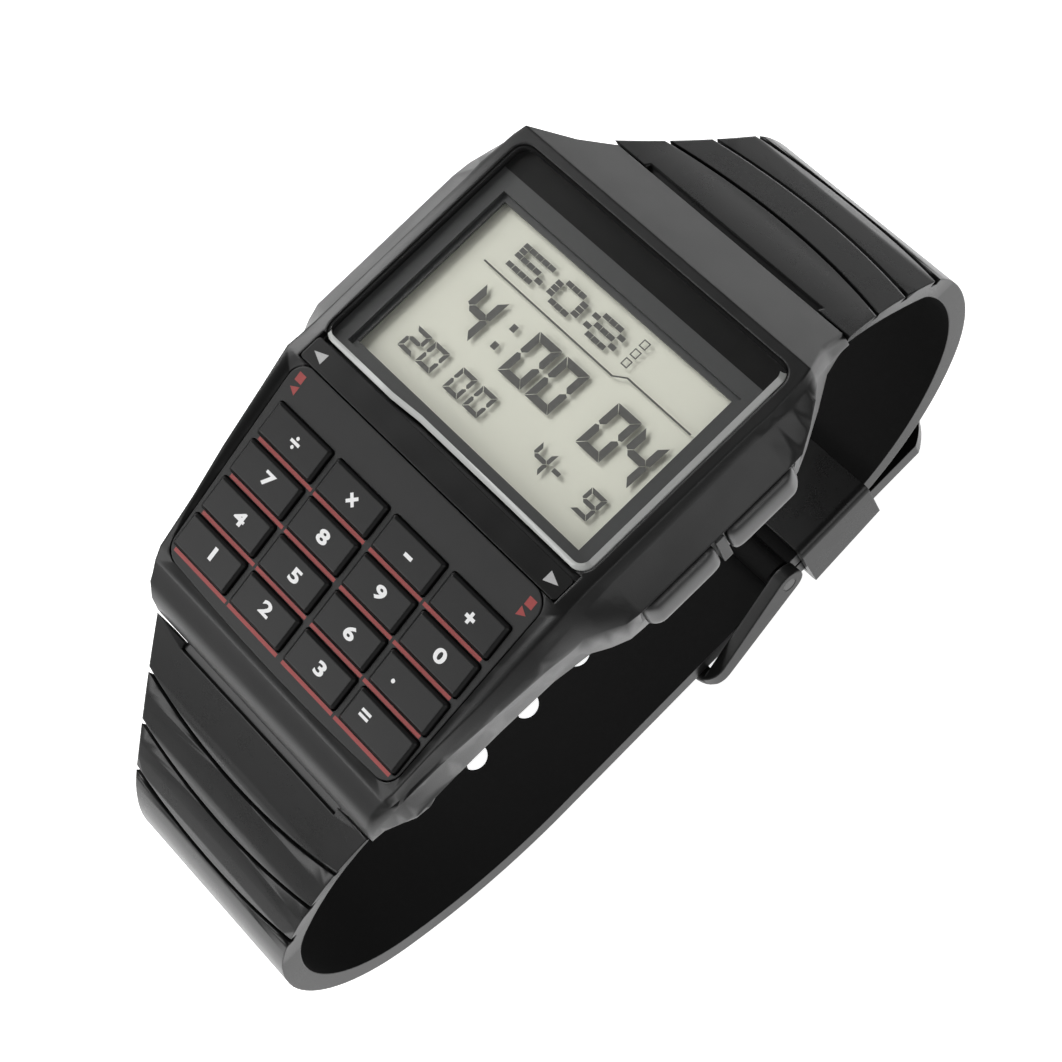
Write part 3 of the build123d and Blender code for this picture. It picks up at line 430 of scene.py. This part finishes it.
def smooth_copy(name):
    """A copy of a node with joined corners, smooth where facets turn by less than sharp_turn."""
    mesh = nodes[name].data.copy()
    work = bmesh.new()
    work.from_mesh(mesh)
    bmesh.ops.remove_doubles(work, verts=work.verts, dist=same_point)
    bmesh.ops.dissolve_degenerate(work, edges=work.edges, dist=no_length)
    bmesh.ops.dissolve_limit(work, angle_limit=flat_turn, verts=work.verts, edges=work.edges)
    work.to_mesh(mesh)
    work.free()
    mesh.shade_smooth()
    mesh.set_sharp_from_angle(angle=sharp_turn)
    piece = bpy.data.objects.new(name + "_moulded", mesh)
    weigh = piece.modifiers.new("large faces lead", "WEIGHTED_NORMAL")
    weigh.keep_sharp, weigh.weight = True, 90
    link_piece(piece, body_of(nodes[name])[0])
    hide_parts(name)
    return piece


smooth_names = [
    "case_body", "strap_long", "strap_short", "keeper_loop", "buckle_frame", "buckle_tongue",
    "buckle_pin", "strap_spring_bars", "keypad_plate", "band_strip", "case_back", "crystal",
]
moulded = {name: smooth_copy(name) for name in smooth_names}
print("smooth copies:", len(moulded))

# %% [markdown]
# ## The case's flank
# Beside the keypad the flank runs in below, so that the strap's holes show past it from the
# camera's side. The solid stands up to half a millimetre too far out there, and stays as it is:
# only this visible copy's low outer points are drawn in, by a share that grows smoothly. At the
# waist, where the flank narrows, flat facets would show as ripples. There each corner's shading
# direction becomes the mean of its neighbours', but only of those that point nearly alike. Each
# pair of numbers is where a share starts to grow from 0 and where it reaches 1, in mm.

# %% Draw the skirt in and even out the waist
skirt_from_12, skirt_from_6, skirt_down = (-3.0, -5.2), (-22.0, -19.8), (-3.2, -6.5)
waist_from_12, waist_from_6 = (0.3, -0.5), (-7.5, -6.0)


def ramp_up(values, start, end):
    """A smooth share: 0 at start and before it, 1 at end and past it."""
    share = np.clip((values - start) / (end - start), 0, 1)
    return share * share * (3 - 2 * share)


def read(items, name, size, kind=np.float32):
    """One whole property of a mesh's items as an array."""
    values = np.empty((len(items), size) if size > 1 else len(items), kind)
    items.foreach_get(name, values.ravel())
    return values


def from_head(spots):
    """Columns x, y and z of points in metres, in mm from the head's zero point."""
    return spots.T / mm - np.array([[0], [head_y], [head_z]])


def draw_in(mesh, depth, inner_wall):
    """Moves the low points that lie outside the inner wall inwards by up to depth mm."""
    spots = read(mesh.vertices, "co", 3)
    x, y, z = from_head(spots)
    drawn = ramp_up(y, *skirt_from_12) * ramp_up(y, *skirt_from_6) * ramp_up(z, *skirt_down)
    spots[:, 0] -= np.sign(x) * drawn * (np.abs(x) > inner_wall) * depth * mm
    mesh.vertices.foreach_set("co", spots.ravel())


def even_out(piece, inner_wall, reach, alike):
    """Evens the shading at the waist: a mean over about reach mm of directions that agree.

    A neighbour pulls by exp(-gap^2 / (2 reach^2)) times its face's area, up to one square mm,
    if the cosine between the two directions is over alike. Corners are loops of the mesh."""
    settled = piece.evaluated_get(bpy.context.evaluated_depsgraph_get())
    mesh = bpy.data.meshes.new_from_object(settled)
    piece.modifiers.clear()
    piece.data = mesh
    spots = read(mesh.vertices, "co", 3)[read(mesh.loops, "vertex_index", 1, np.int32)]
    counts = read(mesh.polygons, "loop_total", 1, np.int32)
    flat = np.repeat(read(mesh.polygons, "normal", 3), counts, axis=0)
    weight = np.repeat(np.minimum(read(mesh.polygons, "area", 1), mm * mm), counts)
    shaded = read(mesh.corner_normals, "vector", 3)
    x, y, z = from_head(spots)
    share = ramp_up(y, *waist_from_12) * ramp_up(y, *waist_from_6) * (np.abs(x) > inner_wall)
    near = np.flatnonzero(share > 0)
    gaps = ((spots[near][:, None] - spots[near][None]) ** 2).sum(2)
    agree = flat[near] @ flat[near].T > alike
    pull = np.exp(-gaps / (2 * (reach * mm) ** 2)) * agree * weight[near]
    mean = pull @ flat[near]
    mean /= np.linalg.norm(mean, axis=1)[:, None]
    shaded[near] += (mean - shaded[near]) * share[near][:, None]
    mesh.normals_split_custom_set(shaded.tolist())
    print("evened corners:", len(near))


wall_x = 14.0
draw_in(moulded["case_body"].data, depth=0.5, inner_wall=wall_x)
even_out(moulded["case_body"], inner_wall=wall_x, reach=1.3, alike=0.5)

# %% [markdown]
# ## Side buttons
# A side button is a bar with a rounded outer side. Its cross-section is half a superellipse,
# its ends fade by a higher power so that they stay blunt, and the outer corner away from the
# other button is slanted. A bevelled box would be quicker, but its corners would all be alike,
# so formulas give the shape. A turned stem with a groove for its clip carries it through the
# case's wall. Cap and stem are grids of points, stored ring by ring, and become closed bars.

# %% Grids of points that become closed bars


def add_piece(name, vertices, faces, finish, body):
    """A finished mesh piece that rides on a body of the watch."""
    mesh = bpy.data.meshes.new(name)
    mesh.from_pydata(vertices.tolist(), [], faces)
    mesh.materials.append(finish.material)
    return link_piece(bpy.data.objects.new(name, mesh), body)


def bar_faces(rows, columns, start, flip):
    """Faces of a bar from points stored ring by ring: quads between rings, and both ends."""
    row, column = np.mgrid[0:rows - 1, 0:columns]
    ahead = (column + 1) % columns
    quads = np.stack([row * columns + column, (row + 1) * columns + column,
                      (row + 1) * columns + ahead, row * columns + ahead], 2).reshape(-1, 4)
    ring, order = np.arange(columns), -1 if flip else 1
    ends = [ring[::order], (rows - 1) * columns + ring[::-order]]
    return (start + quads[:, ::order]).tolist() + [(start + end).tolist() for end in ends]


# %% Shapes of a button's cap and stem
cap_rings, cap_columns, cap_end_angle = 41, 31, 87
back_power, end_power, blunt_out, blunt_up = 3.2, 2.6, 9, 24
slant, slant_start = 0.6, 0.6
stem_radius, groove_share, groove_start, groove_end, stem_in_cap = 0.6, 0.75, 0.2, 0.6, 0.1
stem_step = 15


def button_cap(half_length, half_height, depth):
    """Rings of points (x out, y along, z up) of a cap whose flat back lies at x = 0.

    Across: x = depth cos^p and z = half height sin^p, with p = 2 / back_power. Along: y = half
    length u, where x shrinks by (1 - |u|^blunt_out)^(1 / end_power) and z by the same with
    blunt_up, so the ends are blunt but rounded. The outer corner at y > 0 is slanted."""
    along = np.sin(np.radians(np.linspace(-cap_end_angle, cap_end_angle, cap_rings)))[:, None]
    angle = np.radians(np.linspace(90, -90, cap_columns))[None]
    power = 2 / back_power
    out = np.clip(np.cos(angle), 0, 1) ** power
    up = np.sign(np.sin(angle)) * np.abs(np.sin(angle)) ** power
    x = depth * out * (1 - np.abs(along) ** blunt_out) ** (1 / end_power)
    y = half_length * along - slant * (x / depth) * ramp_up(along, slant_start, 1.0)
    return np.stack([x, y, half_height * up * (1 - np.abs(along) ** blunt_up) ** (1 / end_power)], 2)


def button_stem(inner_end):
    """Rings of points round the stem, from its inner end past the clip's groove into the cap."""
    past_end = np.array([0, groove_start, groove_start, groove_end, groove_end])
    stations = np.append(inner_end + past_end, stem_in_cap)[:, None]
    radii = stem_radius * np.array([1, 1, groove_share, groove_share, 1, 1])[:, None]
    angle = np.radians(np.arange(0, 360, stem_step))[None]
    return np.stack([stations + 0 * angle, radii * np.cos(angle), radii * np.sin(angle)], 2)


# %% Rounded caps on turned stems
cap_back, edge_gap, cap_turn = 17.55, 0.07, np.radians(50)


def side_button(name):
    """A button's rounded piece in place of its node, made to the size of the node's box."""
    low, high = (np.array(corner) / mm - (0, head_y, head_z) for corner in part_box(name))
    middle, half = (low + high) / 2, (high - low) / 2 - edge_gap
    side, upward = np.sign(low[0] + high[0]), 1 if "upper" in name else -1
    inner_end, outer_end = np.sort(np.abs([low[0], high[0]]))
    faces, points = [], np.empty((0, 3))
    for rings in (button_cap(half[1], half[2], outer_end - cap_back), button_stem(inner_end - cap_back)):
        faces += bar_faces(*rings.shape[:2], len(points), upward * side > 0)
        points = np.vstack([points, rings.reshape(-1, 3)])
    points = (points * (1, upward, 1) + (cap_back, 0, 0)) * (side, 1, 1) + (0, *middle[1:])
    print(name, len(points), "points")
    body = body_of(nodes[name])[0]
    piece = add_piece(name + "_cap", on_head(points), faces, button_resin, body)
    piece.data.shade_smooth()
    piece.data.set_sharp_from_angle(angle=cap_turn)
    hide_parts(name)


for name in side_buttons:
    side_button(name)

# %% [markdown]
# ## Second finishes
# The crystal's bevel gets a painted highlight along the lower and right edges. The rest of its
# bevel and its upright wall get a painted shade, as if lost in the dark seat. Its copy's
# underside is raised by a hair, so that it shares no plane with what is printed below. The strap
# is satin outside and matt inside, where it lies on the wrist. Each is chosen face by face, from
# the way it points.

# %% Choose finishes by the way a face points
loop_middle, towards_loop, side_share = (0, 0, 0.021), 0.35, 0.5
level, bevel_low, painted_highlight_side = 0.95, 0.2, 0.1


def second_finish(piece, finish, choose):
    """Gives a finish to the faces that choose(directions, middles), two whole arrays, picks."""
    mesh = piece.data
    chosen = choose(read(mesh.polygons, "normal", 3), read(mesh.polygons, "center", 3))
    index = read(mesh.polygons, "material_index", 1, np.int32)
    mesh.materials.append(finish.material)
    index[chosen] = len(mesh.materials) - 1
    mesh.polygons.foreach_set("material_index", index)
    print(piece.name, finish.material.name, int(chosen.sum()), "faces")


def inward(directions, middles):
    """True for faces that look towards the middle of the strap's loop."""
    to_middle = np.array(loop_middle) - middles
    to_middle[:, 0] = 0
    shares = (directions * to_middle).sum(1) / np.linalg.norm(to_middle, axis=1)
    return (shares > towards_loop) & (np.abs(directions[:, 0]) < side_share)


def bevel_or_wall(directions, middles):
    """True for faces of the crystal that aren't level: its bevel and wall, for the painted shade."""
    return np.abs(directions[:, 2]) < level


def painted_highlight_bevel(directions, middles):
    """True for the bevel's faces along the lower and right edges, for the painted highlight."""
    x, y, z = directions.T
    return (z > bevel_low) & (z < level) & (x - y > painted_highlight_side)


raised = 0.02
crystal_mesh = moulded["crystal"].data
spots = read(crystal_mesh.vertices, "co", 3)
spots[spots[:, 2] < crystal_low.z + no_length, 2] += raised * mm
crystal_mesh.vertices.foreach_set("co", spots.ravel())
# Painted shade on the crystal's bevel and wall, then a painted highlight on its lower and right bevel.
second_finish(moulded["crystal"], crystal_wall_painted_shade, bevel_or_wall)
second_finish(moulded["crystal"], crystal_rim_painted_highlight, painted_highlight_bevel)
for name in ("strap_long", "strap_short"):
    second_finish(moulded[name], strap_inner, inward)

# %% [markdown]
# ## Flat shapes
# Printing and display segments are thin flat slabs. A picture laid on the surface would blur
# close by, and a slab stays sharp. `slabs` takes outlines and a function that lays flat points
# on the watch, and closes each slab with a top, a bottom and a quad for every edge.

# %% Thin slabs from outlines


def slabs(name, outlines, low, high, lay, finish, body):
    """Closed slabs: each outline, counter-clockwise in mm, at two heights, joined by quads."""
    vertices, faces, start = [], [], 0
    for outline in outlines:
        flat = np.asarray(outline, float)
        count = len(flat)
        ring, ahead = np.arange(count), np.roll(np.arange(count), -1)
        for height in (low, high):
            vertices.append(np.column_stack([flat, np.full(count, height)]))
        faces.append((start + ring[::-1]).tolist())
        faces.append((start + count + ring).tolist())
        faces += (start + np.column_stack([ring, ahead, ahead + count, ring + count])).tolist()
        start += 2 * count
    return add_piece(name, lay(np.vstack(vertices)), faces, finish, body)


def rectangle(x, y, width, height):
    """A rectangle's corners round its middle."""
    corners = np.array([(-1, -1), (1, -1), (1, 1), (-1, 1)]) / 2
    return corners * (width, height) + (x, y)


# %% [markdown]
# ## Display segments
# Each digit is made of up to seven bars with mitred ends, in a cell that leans a little. The
# dark segments sit at the top of the clear display glass and the pearly reflector lies a
# quarter of a millimetre below, so their soft shadows are real and shift as the watch turns.
# A row of digits is given by its signs, their middles, and then width, height and bar in mm.

# %% Seven-segment digits
segments_lit = {"0": "abcdef", "2": "abged", "4": "fgbc", "9": "abcdfg"}
gap, lean = 0.035, 0.05


def digit(sign, x, y, width, height, bar):
    """A digit's lit bars; a point is moved right by lean times its height, so the digit leans.

    Half sizes w and h, bar b, half bar m, and s, how far the middle bar's tip stands in."""
    w, h, b, m, s = width / 2, height / 2, bar, bar / 2, bar / 2 * 0.9
    bars = {
        "a": [(-w + gap, h), (-w + b + gap, h - b), (w - b - gap, h - b), (w - gap, h)],
        "d": [(-w + gap, -h), (w - gap, -h), (w - b - gap, -h + b), (-w + b + gap, -h + b)],
        "g": [(-w + s + gap, 0), (-w + b + gap, -m), (w - b - gap, -m), (w - s - gap, 0),
              (w - b - gap, m), (-w + b + gap, m)],
        "b": [(w, h - gap), (w - b, h - b - gap), (w - b, m + gap), (w - s, gap), (w, gap + m * 0.4)],
        "c": [(w, -h + gap), (w, -gap - m * 0.4), (w - s, -gap), (w - b, -m - gap),
              (w - b, -h + b + gap)],
    }
    bars["f"] = [(-px, py) for px, py in reversed(bars["b"])]
    bars["e"] = [(-px, py) for px, py in reversed(bars["c"])]
    made = []
    for letter in segments_lit[sign]:
        points = np.array(bars[letter])
        if np.cross(points[1] - points[0], points[2] - points[1]) < 0:
            points = points[::-1]
        made.append(points + np.column_stack([points[:, 1] * lean, 0 * points[:, 1]]) + (x, y))
    return made


digit_rows = [
    ("40004", (-7.1, -1.3, 1.66, 7.1, 9.98), 7.2, (2.44, 4.1, 0.6)),
    ("200049", (-8.98, -6.98, -3.9, -1.7, 4.86, 10.0), 2.62, (1.6, 2.1, 0.34)),
]
shapes = []
for signs, xs, y, sizes in digit_rows:
    for sign, x in zip(signs, xs):
        shapes += digit(sign, x, y, *sizes)
dash, colon = (6.5, 2.66, 0.7, 0.34), [(-4.1, 8.14, 0.5, 0.56), (-4.18, 6.3, 0.5, 0.56)]
shapes += [rectangle(*bar) for bar in [dash, *colon]]
print("segments:", len(shapes))

# %% [markdown]
# ## Upper part of the display
# Above the large digits the display has small digits made of dots, in five rows, a long line
# that steps up right of its middle, and three open squares. A font has no such dots, so a table
# of ones and noughts gives them. All the shapes become one piece of thin slabs just inside the
# glass, and the reflector is another slab below them.

# %% Dot-matrix digits, the stepped line and the three squares
dot_width, dot_height, dot_pitch, row_pitch, top_row = 0.62, 0.4, 0.66, 0.45, 13.2
dot_rows = {
    "5": ("11111", "10000", "11110", "00001", "11110"),
    "0": ("01110", "10001", "10001", "10001", "01110"),
    "8": ("01110", "10001", "01110", "10001", "01110"),
}
for sign, left in zip("508", (-8.46, -4.48, -0.5)):
    for row, dots in enumerate(dot_rows[sign]):
        xs = [left + dot_pitch * (place + 0.5) for place, dot in enumerate(dots) if dot == "1"]
        shapes += [rectangle(x, top_row - row_pitch * row, dot_width, dot_height) for x in xs]
line, line_width = np.array([(-9.9, 10.46), (4.1, 10.4), (5.06, 11.0), (11.6, 11.0)]), 0.14
line_low = line - (0, line_width)
shapes += [np.vstack([line_low[k:k + 2], line[k:k + 2][::-1]]) for k in range(len(line) - 1)]
square_x, half_square, thin = 4.14, 0.28, 0.09
for y in (13.5, 12.6, 11.7):
    shapes += [rectangle(square_x, y + way * half_square, 0.65, thin) for way in (1, -1)]
    shapes += [rectangle(square_x + way * half_square, y, thin, 0.47) for way in (-1, 1)]

# %% Segments inside the glass and the reflector below them
segment_depth, reflector_depth, reflector_lift, ink_thickness, rim = 0.03, 0.3, 0.05, 0.005, 0.1
lcd_low, lcd_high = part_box("lcd_panel")
lcd_top, lcd_bottom = lcd_high.z / mm - head_z, lcd_low.z / mm - head_z
ink_low = lcd_top - segment_depth
slabs("lcd_segments", shapes, ink_low, ink_low + ink_thickness, on_head, segment_ink, "head")
window_middle = (lcd_low.y + lcd_high.y) / 2 / mm - head_y
back_size = (lcd_high.x - lcd_low.x) / mm - rim, (lcd_high.y - lcd_low.y) / mm - rim
slabs("display_reflector", [rectangle(0, window_middle, *back_size)], lcd_bottom + reflector_lift,
      lcd_top - reflector_depth, on_head, pearl, "head")
print("display shapes:", len(shapes), "at", round(ink_low, 3), "mm")

# %% [markdown]
# ## Black band of the mask
# The mask behind the crystal is grey round the display and black above it. The band is a thin
# print of its own on the grey one, with the crystal's round corners.

# %% Mask band


def arc(x, y, radius, start, end, count=7):
    """Points round a centre from one angle to another, in degrees."""
    turn = np.radians(np.linspace(start, end, count))
    return np.column_stack([x + radius * np.cos(turn), y + radius * np.sin(turn)])


mask_low, mask_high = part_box("display_mask")
mask_half = mask_high.x / mm
mask_top, mask_z = mask_high.y / mm - head_y, mask_high.z / mm - head_z
round_top, band_low = 1.05, 16.44
band = np.vstack([
    [(-mask_half, band_low), (mask_half, band_low)],
    arc(mask_half - round_top, mask_top - round_top, round_top, 0, 90),
    arc(round_top - mask_half, mask_top - round_top, round_top, 90, 180),
])
slabs("mask_band", [band], mask_z, mask_z + ink_thickness, on_head, mask_black, "head")
print("band from", band_low, "to", round(mask_top, 2), "mm")

# %% [markdown]
# ## Keypad printing
# The keys carry white digits and signs, and a red rule is printed on the plate below each key,
# towards 6 o'clock. All of it lies in the keypad's tilted plane, so one function lays plane
# places on the head.

# %% Keypad plane
keypad_top_y, keypad_top_z, keypad_tilt = -4.081, -0.32, np.radians(17.2)


def on_plate(points):
    """Keypad places in mm, X to 3 o'clock, Y up the slope and Z out of the keys, as metres."""
    x, y, height = np.asarray(points, float).T
    return on_head(np.column_stack([
        x, keypad_top_y + y * np.cos(keypad_tilt) - height * np.sin(keypad_tilt),
        keypad_top_z + y * np.sin(keypad_tilt) + height * np.cos(keypad_tilt),
    ]))


key_xs, rule_lengths = (-9.42, -3.185, 3.185, 9.42), (6.2, 5.77, 5.77, 6.2)
rule_ys, rule_width, red_thickness = (-6.41, -9.88, -13.35, -16.82), 0.3, 0.006
rules = [rectangle(x, y, length, rule_width) for y in rule_ys for x, length in zip(key_xs, rule_lengths)]
slabs("red_rules", rules, 0, red_thickness, on_plate, red_ink, "head")
print("rules:", len(rules))

# %% [markdown]
# ## Printed signs
# The six signs are drawn from rectangles, round dots and crosses. A font has such signs too,
# but each would have to be scaled by itself, and its outline is as short to write down. Each
# rides on its own key.

# %% Signs on the keys


def turned_by(points, angle):
    """Flat points turned about zero by an angle in degrees."""
    c, s = np.cos(np.radians(angle)), np.sin(np.radians(angle))
    return np.asarray(points) @ np.array([(c, s), (-s, c)])


def cross(x, y, arm, bar, turn=0):
    """A plus sign's outline, turned by an angle in degrees: 45 makes it a times sign."""
    a, b = arm / 2, bar / 2
    corner = np.array([(a, -b), (a, b), (b, b)])
    outline = np.vstack([turned_by(corner, quarter + turn) for quarter in (0, 90, 180, 270)])
    return outline + (x, y)


def dot(x, y, radius):
    """A round dot's outline of twelve points."""
    return arc(x, y, radius, 0, 330, 12)


key_top = 0.42
sign_shapes = {
    "divide": [rectangle(-9.55, -4.67, 0.95, 0.25), dot(-9.55, -4.3, 0.15), dot(-9.55, -5.04, 0.15)],
    "times": [cross(-2.96, -4.68, 1.05, 0.27, 45)],
    "minus": [rectangle(3.37, -4.74, 0.8, 0.3)],
    "plus": [cross(10.06, -4.71, 0.9, 0.28)],
    "point": [dot(8.43, -11.77, 0.17)],
    "equals": [rectangle(8.36, -14.74, 0.95, 0.23), rectangle(8.36, -15.14, 0.95, 0.23)],
}
for name, outlines in sign_shapes.items():
    slabs("sign_" + name, outlines, key_top, key_top + ink_thickness, on_plate, white_ink,
          body_of(nodes["key_" + name])[0])
print("signs:", len(sign_shapes))

# %% [markdown]
# ## Printed digits
# The digits are wide and bold. Blender's own font gives their outlines: a text object is
# thickened and made a mesh, and its points are scaled and laid on the key.

# %% Digits on the keys
bolder, extrusion, half_ink = 0.035, 0.01, ink_thickness / 2


def glyph(sign, height, widen):
    """A digit's points in mm round its middle, a hair thick, with its faces."""
    curve = bpy.data.curves.new("glyph", "FONT")
    curve.body, curve.resolution_u = sign, 6
    curve.offset, curve.extrude = bolder, extrusion
    carrier = bpy.data.objects.new("glyph", curve)
    bpy.context.scene.collection.objects.link(carrier)
    settled = carrier.evaluated_get(bpy.context.evaluated_depsgraph_get())
    flat = bpy.data.meshes.new_from_object(settled)
    points = read(flat.vertices, "co", 3)
    faces = [tuple(polygon.vertices) for polygon in flat.polygons]
    bpy.data.objects.remove(carrier)
    bpy.data.meshes.remove(flat)
    low, high = points.min(0), points.max(0)
    points -= (low + high) / 2
    scale = height / (high - low)[1]
    return points * (scale * widen, scale, half_ink / extrusion), faces


digit_places = {
    "7": (-9.47, -8.03), "8": (-2.98, -8.09), "9": (3.38, -8.0), "0": (10.07, -8.11),
    "4": (-9.4, -11.52), "5": (-2.85, -11.58), "6": (3.46, -11.59),
    "1": (-9.37, -14.87), "2": (-3.07, -14.83), "3": (3.35, -15.0),
}
for sign, (x, y) in digit_places.items():
    points, faces = glyph(sign, 1.1, 1.45)
    add_piece("digit_" + sign, on_plate(points + (x, y, key_top + half_ink)), faces, white_ink,
              body_of(nodes["key_" + sign])[0])
print("digits:", len(digit_places))

# %% [markdown]
# ## Small marks
# A red square and a red arrow at each upper corner of the plate, and a pale arrow at each end
# of the strip, mark the side buttons. They are mirrored left and right: the order of an
# outline's points is reversed on the left, so that its slab still faces outwards.

# %% Marks on the plate and the strip
arrow = np.array([(-0.3, -0.38), (0.42, 0), (-0.3, 0.38)])
arrow_z, red_marks, arrows = -0.3, [], []
for side in (1, -1):
    pointing = (arrow * (side, 1))[::side]
    red_marks += [rectangle(side * 12.75, -1.08, 0.72, 0.72), pointing + (side * 12.65, -2.0)]
    arrows += [pointing * (1.6, 1.2) + (side * 12.75, -3.0)]
slabs("red_marks", red_marks, 0, red_thickness, on_plate, red_ink, "head")
slabs("strip_arrows", arrows, arrow_z, arrow_z + red_thickness, on_head, silver_ink, "head")
print("marks:", len(red_marks) + len(arrows))

# %% [markdown]
# ## Floor, light and background
# The photograph is a cut-out on pure white. The table glows in a disc under the watch, as far
# as the camera sees, which gives the same clean edges, shows white through the strap's holes
# and lights the undersides. Further out it fades to grey, so that the resin doesn't turn pale.

# %% Floor that glows near the watch
floor_half, glow_middle, glow_radius, glow_end = 3.0, (-0.023, 0.004, 0), 0.078, 0.13
floor_mesh = bpy.data.meshes.new("floor")
floor_mesh.from_pydata([(-floor_half, -floor_half, 0), (floor_half, -floor_half, 0),
                        (floor_half, floor_half, 0), (-floor_half, floor_half, 0)], [], [(0, 1, 2, 3)])
floor = bpy.data.objects.new("floor", floor_mesh)
bpy.context.scene.collection.objects.link(floor)
floor_finish = Finish("floor_white", Roughness=0.9, Emission_Strength=1.0, Specular_IOR_Level=0.1)
reach = floor_finish.node("ShaderNodeVectorMath", {"operation": "DISTANCE"},
                          {0: floor_finish.place(), 1: glow_middle}, output="Value")
glow = floor_finish.node("ShaderNodeMapRange", {"interpolation_type": "SMOOTHSTEP"}, {
    "Value": reach, "From Min": glow_radius, "From Max": glow_end, "To Min": 1.0, "To Max": 0.0})
floor_far = floor_finish.blend(floor_finish.noise(40.0), grey(0.48), grey(0.5))
floor_finish.set(floor_finish.shader, {
    "Base Color": floor_finish.blend(glow, floor_far, grey(0.8)),
    "Emission Color": floor_finish.blend(glow, grey(0.0), grey(0.95))})
floor_mesh.materials.append(floor_finish.material)
floor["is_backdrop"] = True

# %% [markdown]
# ## Dark room
# The room is pale at the horizon and dark overhead, so the flat deck stays black while steep
# faces get some light. The direction it is measured along leans towards 12 o'clock, where the
# horizon is darker for that. Each pair is a place along that direction and the tone there. A
# studio picture round the watch could do this too, but satin resin shows only its broad tones.

# %% Dark room
room_up = (0, 0.35, 1)
horizon, low_wall, overhead = 0.95, (0.16, 0.3), (0.6, 0.1)
world = bpy.data.worlds.new("studio")
bpy.context.scene.world = world
world.use_nodes = True
sky = world.node_tree
height = sky.nodes.new("ShaderNodeVectorMath")
height.operation, height.inputs[1].default_value = "DOT_PRODUCT", room_up
sky.links.new(sky.nodes.new("ShaderNodeTexCoord").outputs["Generated"], height.inputs[0])
ramp = sky.nodes.new("ShaderNodeValToRGB")
tones = ramp.color_ramp.elements
tones[0].color = grey(horizon)
tones[1].position, tones[1].color = overhead[0], grey(overhead[1])
tones.new(low_wall[0]).color = grey(low_wall[1])
sky.links.new(height.outputs["Value"], ramp.inputs[0])
sky.links.new(ramp.outputs[0], sky.nodes["Background"].inputs[0])

# %% [markdown]
# ## Soft boxes
# Three square area lights, since a lamp's size is what makes a shine soft: the strongest stands
# at 9 o'clock, a weak one at 3 o'clock lights the flank and its buttons, and one stands between
# 6 and 9 o'clock.

# %% Soft boxes


def soft_box(name, spot, size, power):
    """A square area light at spot, in metres, that faces the middle of the watch."""
    lamp = bpy.data.lights.new(name, "AREA")
    lamp.size, lamp.energy = size, power
    light = bpy.data.objects.new(name, lamp)
    bpy.context.scene.collection.objects.link(light)
    back = np.array(spot, float) - watch_middle
    back /= np.linalg.norm(back)
    side = np.cross((0, 0, 1), back)
    side /= np.linalg.norm(side)
    grid = np.eye(4)
    grid[:3, 0], grid[:3, 1], grid[:3, 2], grid[:3, 3] = side, np.cross(back, side), back, spot
    light.matrix_world = grid.T.tolist()


watch_middle = (0, 0, 0.03)
soft_box("key_light", (-0.5, 0.06, 0.38), 0.28, 2.7)
soft_box("side_light", (0.55, 0.1, 0.3), 0.3, 0.8)
soft_box("front_light", (-0.32, -0.5, 0.4), 0.4, 2.2)
print("lights:", len(bpy.data.lights))

# %% [markdown]
# ## Finish
# Both boxes, the CAD model's and the finished watch's, are printed. The finished watch
# must not be larger than the CAD model.

# %% Sizes
import json

sizes = [[list(map(float, corner)) for corner in box] for box in (cad_box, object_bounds())]
print("boxes:", sizes)
